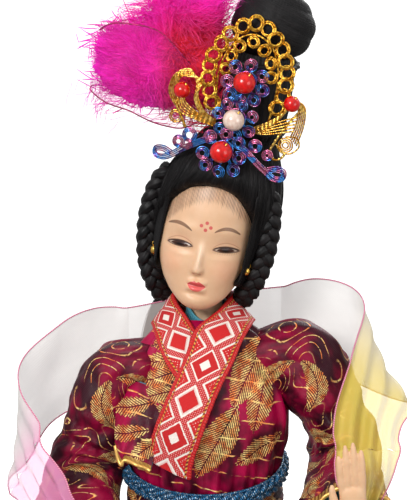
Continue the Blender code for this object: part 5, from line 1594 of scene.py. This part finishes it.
# ---- Sleeves ----
# Each ring: middle, the way to the arm's back and underside, the way outwards, reach under,
# reach over, half breadth, sway inwards.
SLEEVES = {
    "left": [
        ((11.0, 1.0, 198.6), (0, 1, 0), (-0.1, 0, 1), 8.6, 8.6, 7.2, 0),
        ((22.6, 1.0, 199.6), (0, 1, 0), (0.42, 0, 0.9), 10.4, 11.5, 11.4, 0),
        ((29.6, 1.2, 193.2), (0, 1, 0), (0.78, 0, 0.62), 10.4, 11.5, 11.0, 0),
        ((35.0, 1.6, 184.6), (0, 1, 0), (0.89, 0, 0.45), 10.0, 11.0, 9.0, 0),
        ((38.0, 1.4, 177.0), (0, 0.97, -0.2), (0.95, 0, 0.3), 10.0, 10.5, 9.2, 0),
        ((39.0, -1.4, 170.0), (0, 0.75, -0.65), (1, 0, 0), 10.6, 10.0, 9.8, 0),
        ((38.8, -7.6, 166.2), (0, 0.3, -0.95), (1, 0, 0), 14.0, 9.0, 10.4, 1.5),
        ((38.4, -14.0, 164.0), (0, 0.1, -1), (1, 0, 0), 21.0, 8.6, 11.0, 4.0),
        ((38.0, -20.0, 162.2), (0, 0, -1), (1, 0, 0), 29.0, 8.6, 11.6, 7.5),
        ((37.6, -25.5, 160.6), (0, -0.05, -1), (1, 0, 0), 36.0, 8.4, 12.2, 11.0),
    ],
    "right": [
        ((-11.0, 1.0, 197.6), (0, 1, 0), (0.1, 0, 1), 8.6, 8.6, 7.2, 0),
        ((-21.6, 1.0, 196.0), (0, 1, 0), (-0.5, 0, 0.86), 10.4, 11.5, 9.6, 0),
        ((-26.0, 1.4, 189.2), (0, 1, 0), (-0.83, 0, 0.55), 10.4, 11.5, 10.6, 0),
        ((-28.4, 1.8, 181.2), (0, 1, 0), (-0.95, 0, 0.3), 10.0, 11.0, 10.0, 0),
        ((-30.2, 1.6, 173.6), (0, 0.97, -0.2), (-0.97, 0, 0.22), 10.0, 10.6, 10.6, 0),
        ((-32.9, -1.0, 166.4), (0, 0.75, -0.65), (-1, 0, 0), 10.6, 10.0, 11.0, 0),
        ((-34.0, -6.6, 161.4), (0, 0.3, -0.95), (-1, 0, 0), 14.0, 9.4, 11.4, 1.5),
        ((-33.6, -12.2, 158.2), (0, 0.1, -1), (-1, 0, 0), 21.0, 9.2, 12.2, 3.0),
        ((-33.6, -17.6, 155.4), (0, 0, -1), (-1, 0, 0), 29.0, 9.0, 13.0, 5.0),
        ((-33.4, -22.6, 152.8), (0, -0.05, -1), (-1, 0, 0), 36.0, 8.8, 13.6, 7.5),
    ],
}


def sleeve_points(side, rows, count):
    table = np.array([np.concatenate([r[0], r[1], r[2], r[3:]]) for r in SLEEVES[side]], float)
    fine = spline(table, rows)
    centre, down, out = fine[:, :3], unit(fine[:, 3:6]), unit(fine[:, 6:9])
    under, over, half, sway = (fine[:, k][:, None] for k in (9, 10, 11, 12))
    a = circle(count)
    c, s = np.cos(a)[None, :], np.sin(a)[None, :]
    reach = np.where(c > 0, under, over)
    p = centre[:, None] + down[:, None] * (reach * c)[..., None] + out[:, None] * (half * s)[..., None]
    p = p - out[:, None] * (sway * np.maximum(0, c) ** 2)[..., None]
    return p, a, fine


def make_sleeves():
    # The sleeves take a darker copy of the robe brocade: painted shade for the shadow they hang in.
    cloth = brocade_paint("sleeve_brocade_shaded", (134, 0, 46), (30, 0, 8), seed=7.0, size=17.0, share=0.45)
    lining = Paint("teal_lining", rgb(50, 132, 152), 0.5, sheen=0.3)
    u, v = lining.uv()
    tone = lining.noise(u * 0.3, v * 0.3, 0.0, 3.0)
    lining.set("Base Color", lining.mix(tone, rgb(28, 96, 120), rgb(78, 160, 176)))
    lining.bump((u * (TAU / 0.5)).sin() * (v * (TAU / 0.5)).sin() + tone, 0.05)
    hem = Paint("gold_hem", rgb(206, 152, 66), 0.35, 0.6)
    u, v = hem.uv()
    cell = ((u * (TAU / 1.3)).sin() * 0.5 + 0.5)
    hem.set("Base Color", hem.mix(cell, rgb(132, 74, 26), rgb(236, 190, 104)))
    hem.bump(cell, 0.12)
    for side in ("left", "right"):
        rows, count = 240, 220
        p, a, fine = sleeve_points(side, rows, count)
        s = np.linspace(0, 1, rows)[:, None]
        sign = 1 if side == "left" else -1
        normal = unit(np.cross(np.roll(p, -1, 1) - np.roll(p, 1, 1), np.gradient(p, axis=0)))
        centre = fine[:, None, :3]
        normal = np.where(((p - centre) * normal).sum(-1, keepdims=True) < 0, -normal, normal)
        elbow = np.exp(-(((s - 0.5) / 0.12) ** 2))
        hang = ease(s, 0.55, 1.0)
        fold = 0.55 * np.sin(3 * a + 6 * s + sign) + 0.75 * hash_noise(a * 2.2 + 8 * s, s * 9, 5 + sign)
        inside = 0.4 + 0.6 * np.cos(a + math.pi) ** 2
        fold = fold + 0.8 * elbow * np.sin(s * 62 + 1.8 * np.cos(a - 0.6)) * inside
        fold = fold + 1.0 * hang * np.sin(5 * a + 3 * s + sign) + 0.4 * hash_noise(a * 6, s * 24, 8)
        fold = fold * ease(s, 0.0, 0.08)
        p = p + normal * fold[..., None]
        across = np.arange(count + 1) * TAU * 12 / count
        uv = uv_grid(across, run_length(fine[:, :3]) * 1.2)
        cut = int(rows * 0.47)
        top = Build().grid(p[: cut + 1], uv[: cut + 1], (False, True))
        obj = top.make(f"{side}_sleeve_upper", [cloth], slot="brocade")
        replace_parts(obj, f"{side}_upper_sleeve")
        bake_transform(obj)
        low = Build().grid(p[cut:], uv[cut:], (False, True))
        inner = p[cut + 6 :] - normal[cut + 6 :] * 0.9
        low.grid(inner, uv[cut + 6 :], (False, True), slot=1, flip=True)
        low.grid(p[-9:] + normal[-9:] * 0.3, uv[-9:], (False, True), slot=2)
        low.tube(p[-1] - normal[-1] * 0.3, 0.62, 8, closed=True, slot=2, first=(0, 1, 0))
        obj = low.make(f"{side}_sleeve_lower", [cloth, lining, hem], slot="brocade")
        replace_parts(obj, f"{side}_lower_sleeve")
        start, end = fine[cut, :3] + np.array([0, 2.0, 3.0]), fine[int(rows * 0.66), :3]
        start * MM
        end * MM
        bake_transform(obj)

    # The bodice blouses over the sash under the right arm, with a gold hem over a dark hollow.
    top = spline([(-23.6, -4, 193), (-19.5, -9.0, 195), (-14.5, -12.8, 194), (-11, -15.5, 190)], 90)
    mid = spline([(-24.6, -14.5, 184.5), (-22.0, -18.8, 184), (-17.0, -20.8, 183.0), (-12.6, -21.0, 181.5)],
                 90)
    low = spline([(-24.2, -15.5, 178.6), (-23.4, -17.8, 175.8), (-22.4, -19.0, 174.0), (-21.6, -19.6, 175.4),
                  (-18.0, -20.4, 174.4), (-14.6, -20.2, 172.8)], 90)
    t = np.linspace(0, 1, 50)[:, None, None]
    p = top * (1 - t) ** 2 + mid * 2 * t * (1 - t) + low * t**2
    u = np.linspace(0, 1, 90)
    p[..., 1] -= (0.5 * np.sin(u * 16 + 2.5 * t[..., 0]) * t[..., 0]
                  + 0.6 * hash_noise(u * 6 + 0 * t[..., 0], t[..., 0] * 4 + 0 * u))
    uv = uv_grid(u * 18 - 28, 193 - 20 * np.linspace(0, 1, 50))
    b = Build().grid(p, uv)
    b.grid(p + np.array([0.2, 0.8, 0]), uv, slot=1, flip=True)
    b.grid(p[-5:] - np.array([0, 0.25, 0]), uv[-5:] * np.array([3.0, 1.0]), slot=2)
    b.tube(p[-1], 0.55, 8, slot=2)
    spots = [((-20.0, 189.0), 0.25, (6.0, 2.0)), ((-21.0, 182.5), 0.2, (6.0, 1.8)),
             ((-16.0, 178.5), 0.6, (5.0, 2.2))]
    b.make("bodice_drape", [brocade_paint("drape_brocade", scatter=False, spots=spots, seed=3.0, place=True),
                            lining, hem], "torso", "brocade")


# ---- Shawl ----
SHAWL = {
    "shawl_back": [
        ((-21.5, 20.4, 197.2), (0, 0.05, 1), 1.0), ((-10, 21.8, 199.2), (0, 0.02, 1), 1.0),
        ((0, 22.4, 200.8), (0, 0, 1), 1.0),
        ((10, 21.8, 202.0), (0, 0.02, 1), 1.0), ((21.5, 20.2, 203.2), (0, 0.05, 1), 1.0)],
    "left_shawl_loop": [
        ((21.5, 20.2, 203.2), (0, 0.05, 1), 1.0), ((31, 18.0, 204.6), (-0.02, 0.1, 1), 1.0),
        ((41, 13.0, 203.6), (-0.05, 0.15, 1), 1.0),
        ((48, 4.0, 200.4), (-0.3, 0.0, 1), 0.98), ((48.6, -7.0, 194.6), (-0.78, -0.1, 0.66), 0.88),
        ((45.2, -15, 186.0), (-1, -0.12, 0.18), 0.74),
        ((43.6, -20, 178.4), (-1, -0.12, 0.04), 0.68)],
    "left_shawl_end": [
        ((43.6, -20, 178.4), (-1, -0.12, 0.04), 0.68), ((43.0, -26.4, 171.6), (-0.95, -0.25, 0.1), 0.6),
        ((40.4, -30.8, 163.6), (-0.8, -0.3, 0.5), 0.42),
        ((35.4, -32.2, 157.4), (-0.2, -0.5, 0.8), 0.4), ((30.2, -33.0, 152.6), (0.3, -0.4, 0.8), 0.5),
        ((25.6, -34.0, 145.0), (0.75, -0.1, 0.5), 0.66),
        ((22.0, -36.4, 133.0), (0.95, 0.05, 0.2), 0.75), ((20.5, -39.4, 116.0), (1, 0.05, 0.05), 0.75),
        ((20.0, -43.4, 98.0), (1, 0.05, 0), 0.8)],
    "right_shawl_loop": [
        ((-21.5, 20.4, 197.2), (0, 0.05, 1), 1.0), ((-32, 18.0, 195.8), (0.02, 0.1, 1), 1.02),
        ((-42.0, 12.6, 192.6), (0.05, 0.15, 1), 1.06),
        ((-49.0, 3.6, 186.6), (0.0, 0.05, 1), 1.06), ((-51.4, -6.4, 179.4), (0.16, -0.3, 1), 0.98),
        ((-48.6, -15.0, 172.4), (0.4, -0.5, 0.8), 0.86)],
    "right_shawl_end": [
        ((-48.6, -15.0, 172.4), (0.4, -0.5, 0.8), 0.86), ((-43.6, -22.6, 166.6), (0.55, -0.45, 0.7), 0.66),
        ((-37.0, -26.6, 161.0), (0.35, -0.6, 0.75), 0.42),
        ((-28.0, -28.4, 153.6), (0.6, -0.3, 0.7), 0.42), ((-20.0, -32.0, 139.0), (0.95, 0.05, 0.3), 0.6),
        ((-19.5, -37.6, 118.0), (1, -0.05, 0.05), 0.75),
        ((-19.5, -42.6, 98.0), (1, -0.05, 0), 0.8)],
}


def shawl_paint(name, alpha, mode):
    """Organza in one colour after another: white over the back, pink and yellow at the ends."""
    p = Paint(name, rgb(226, 222, 218), 0.4, sheen=0.15, specular=0.4)
    u, v = p.uv()
    x, y, z = p.place()
    weave = ((u * (TAU / 0.45)).sin() * (v * (TAU / 0.45)).sin()) * 0.5 + 0.5
    tone = p.noise(u * 0.12, v * 0.05, 0.0, 3.0)
    base = p.mix(tone, rgb(208, 204, 200), rgb(236, 232, 228))
    pink = x.step(-36.0, -54.0) * z.step(204.0, 176.0)
    yellow = x.step(40.0, 55.0) * z.step(216.0, 196.0)
    if mode == "loop_left":
        pink, yellow = tone * 0.0, v.step(20.0, 50.0)
    if mode == "loop_right":
        pink, yellow = v.step(46.0, 66.0), tone * 0.0
    if mode == "pink":
        pink = 0.75 + tone * 0.25
        yellow = z.step(150.0, 105.0)
    if mode == "yellow":
        pink = tone * 0.0
        yellow = 0.85 + tone * 0.15
    base = p.mix(pink, base, rgb(238, 132, 190))
    base = p.mix(yellow, base, rgb(232, 206, 84))
    base = p.mix(weave * 0.12, base, rgb(150, 136, 120))
    p.set("Base Color", base)
    p.set("Alpha", alpha)
    return p.bump(weave + tone * 2, 0.05)


def make_shawl():
    paints = {
        "plain": shawl_paint("organza_white", 0.58, "plain"),
        "left_shawl_loop": shawl_paint("organza_left", 0.66, "loop_left"),
        "right_shawl_loop": shawl_paint("organza_right", 0.66, "loop_right"),
        "pink": shawl_paint("organza_pink", 0.6, "pink"),
        "yellow": shawl_paint("organza_yellow", 0.72, "yellow"),
    }
    edge = Paint("organza_edge", rgb(214, 120, 150), 0.5)
    u, v = edge.uv()
    twist = ((v * (TAU / 0.6) + u * TAU).sin() * 0.5 + 0.5)
    edge.set("Base Color", edge.mix(twist, rgb(186, 84, 116), rgb(236, 160, 186)))
    edge.bump(twist, 0.05)
    wide = 26.0
    for name, rows in SHAWL.items():
        table = np.array([np.concatenate([c, np.array(d, float) / np.linalg.norm(d), [share]])
                          for c, d, share in rows], float)
        steps = 200 if name != "shawl_back" else 110
        fine = spline(table, steps)
        centre, across = fine[:, :3], unit(fine[:, 3:6])
        width = wide * fine[:, 6]
        s = run_length(centre)
        t = np.linspace(-1, 1, 61)
        along = unit(np.gradient(centre, axis=0))
        normal = unit(np.cross(along, across))
        pleats = 7
        amp = 0.5 * np.sqrt(np.maximum(0, (wide / pleats) ** 2 - (width / pleats) ** 2)) * 0.85
        phase = (t[None, :] + 1) * math.pi * pleats / 2 + 0.4 * np.sin(s[:, None] * 0.12)
        slack = amp[:, None] * np.sin(phase)
        calm = 0.5 if name == "shawl_back" else 1.1
        flow = (calm * np.sin(s[:, None] * 0.16 + t * 1.6) * np.abs(t) ** 1.5
                + 0.5 * calm * hash_noise(s[:, None] * 0.09 + 0 * t, t * 1.5 + 0 * s[:, None], 6))
        ends = ease(s, 0, 4)
        if name in ("shawl_back", "left_shawl_loop", "right_shawl_loop"):
            ends = ends * ease(s, s[-1], s[-1] - 4)
        lift = slack + flow * ends[:, None]
        if name.endswith("end"):
            lift = slack * ease(s, -4, 4)[:, None] + flow * ends[:, None]
        p = (centre[:, None] + across[:, None] * (width[:, None] / 2 * t)[..., None]
             + normal[:, None] * lift[..., None])
        bow = 1.2 * np.sin(s * 0.13)[:, None] * (t[None, :] ** 2)
        if name != "shawl_back":
            p = p + across[:, None] * (bow * ends[:, None])[..., None]
        uv = uv_grid(t * 13, s)
        plain = name if name in paints else "plain"
        kind = {"left_shawl_end": "yellow", "right_shawl_end": "pink"}.get(name, plain)
        b = Build().grid(p, uv)
        for k in (0, -1):
            b.tube(p[:, k], 0.2, 6, slot=1)
        obj = b.make(name + "_cloth", [paints[kind], edge], slot="organza")
        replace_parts(obj, name)
        side = name.split("_")[0]
        sign = 1 if side == "left" else -1
        if name == "shawl_back":
            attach(obj, "torso")
        elif name.endswith("loop"):
            sign * 0.024
            sign * 0.05
            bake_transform(obj)
        else:
            fine[int(steps * 0.22), :3] * MM
            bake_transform(obj)


# ---- Hands ----
ARMS = {
    "left": ((42.0, 4.0, 170.0), (39.5, -34.0, 160.0), (-0.09, -0.12, 1.0)),
    "right": ((-37.5, 4.0, 166.0), (-34.0, -28.0, 150.0), (0.12, -0.75, -0.65)),
}


def along_frame(place, axis_z, axis_x):
    z = Vector(axis_z).normalized()
    y = z.cross(Vector(axis_x)).normalized()
    x = y.cross(z)
    return Matrix.Translation(Vector(place)) @ Matrix((x, y, z)).transposed().to_4x4()


def make_hands():
    paint = skin_paint("hand_porcelain", (222, 180, 140))
    for side, (elbow, wrist, fingers) in ARMS.items():
        sign = 1 if side == "left" else -1
        stretch = 1.2 if side == "left" else 1.05
        place = along_frame(wrist, fingers, (1, 0, 0)) @ Matrix.Diagonal((1.0, 1.0, stretch, 1.0))
        b = Build()
        palm = spline([(0, 0, -1.0, 2.2), (0, 0, 1.0, 2.3), (0.1, 0, 3.5, 3.0), (0, 0, 6.5, 3.55),
                       (0, 0, 9.0, 3.4), (0, 0, 10.2, 2.6)], 40)
        b.tube(palm[:, :3], palm[:, 3], 30, flat=0.52)
        for x, length, bend in ((-2.7, 8.6, 0.5), (-0.95, 10.4, 0.25), (0.9, 9.8, 0.1), (2.6, 7.6, 0.35)):
            x *= -sign
            line = spline([(x * 0.85, 0, 6.5), (x, -0.15, 10.0),
                           (x * 1.1, -0.3 - bend * 0.4, 10.0 + length * 0.5),
                           (x * 1.12, 0.1 - bend, 10.0 + length)], 40)
            t = np.linspace(0, 1, 40)
            radius = np.interp(t, [0, 0.3, 0.42, 0.6, 0.72, 0.9, 1], [1.12, 1.02, 1.1, 0.92, 0.98, 0.78, 0.4])
            b.tube(line, radius, 16)
        inner = -sign
        line = spline([(inner * 1.6, -0.3, 1.6), (inner * 4.0, -0.9, 4.6), (inner * 5.1, -1.2, 8.0),
                       (inner * 5.3, -1.2, 11.4)], 40)
        b.tube(line, np.interp(np.linspace(0, 1, 40), [0, 0.4, 0.7, 0.92, 1], [1.7, 1.35, 1.15, 0.8, 0.4]),
               16)
        fore = unit(np.array(wrist, float) - np.array(elbow, float))
        back = np.array([np.array(wrist) - fore * 7.0, np.array(wrist) - fore * 3,
                         np.array(wrist) + fore * 0.8])
        b.points = [placed(q, place) for q in b.points]
        b.tube(spline(back, 16), 2.1, 24)
        raw = b.make(f"{side}_hand_form", paint)
        remesh = raw.modifiers.new("skin", "REMESH")
        remesh.mode = "VOXEL"
        remesh.voxel_size = 0.00024
        smooth = raw.modifiers.new("soft", "SMOOTH")
        smooth.factor, smooth.iterations = 0.6, 7
        mesh = bpy.data.meshes.new_from_object(raw.evaluated_get(bpy.context.evaluated_depsgraph_get()))
        bpy.data.objects.remove(raw)
        mesh.shade_smooth()
        obj = bpy.data.objects.new(f"{side}_hand_carved", mesh)
        bpy.context.scene.collection.objects.link(obj)
        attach(obj, f"{side}_hand")
        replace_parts(obj, f"{side}_hand")


def make_neck_and_stand():
    profile = spline([(2.6, -33, 0), (2.6, -15.5, 0), (4.5, -15.2, 0), (4.45, -12, 0), (4.2, -8.5, 0),
                      (3.6, -6.6, 0), (2.5, -5.4, 0), (2.4, -3.6, 0), (3.6, -2, 0), (4.0, 0, 0),
                      (3.5, 2.2, 0), (2.0, 3.6, 0), (0.2, 4.0, 0)], 110)
    b = Build().grid(lathe(profile[:, :2], 60, tuple(NECK_PIVOT)), None, (False, True))
    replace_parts(b.make("neck_turned", skin_paint("neck_porcelain"), "neck", "skin"), "neck")

    lacquer = Paint("base_lacquer", rgb(70, 14, 12), 0.24, coat=0.8)
    x, y, z = lacquer.place()
    rings = lacquer.noise(x * 0.05, y * 0.4, z * 0.4, 5.0)
    line = ((rings * 26.0).sin() * 0.5 + 0.5)
    edge = lacquer.noise(x * 0.8, y * 0.8, z * 0.8, 4.0)
    lacquer.set("Base Color", lacquer.mix(line * 0.7, rgb(46, 8, 8), rgb(108, 28, 20)))
    lacquer.set("Roughness", 0.18 + edge * 0.22)
    lacquer.bump(line * 0.3 + edge * 0.4, 0.04)
    felt = Paint("base_felt_green", rgb(30, 62, 44), 0.95, sheen=0.5)
    x, y, z = felt.place()
    fibre = felt.noise(x * 3.0, y * 3.0, z * 3.0, 5.0)
    felt.set("Base Color", felt.mix(fibre, rgb(16, 40, 28), rgb(48, 88, 64)))
    felt.bump(fibre, 0.2)
    wood = wood_paint("limewood", (150, 112, 70), (206, 170, 120))
    dark = wood_paint("post_beech", (120, 80, 46), (176, 128, 80), 1.4)
    for node, paint in (("stand_base", lacquer), ("base_felt", felt), ("post_screw", STEEL),
                        ("stand_post", dark), ("torso_core", wood),
                        ("left_upper_arm", wood), ("right_upper_arm", wood), ("left_forearm", wood),
                        ("right_forearm", wood),
                        ("left_elbow_pin", STEEL), ("right_elbow_pin", STEEL)):
        obj = NODES[node]
        if obj.material_slots:
            for slot in obj.material_slots:
                slot.material = paint.material
        else:
            obj.data.materials.append(paint.material)


make_headdress()
make_ribbon()
surface = make_robe()
make_collars(surface)
make_belt()
make_skirt()
make_sleeves()
make_shawl()
make_hands()
make_neck_and_stand()
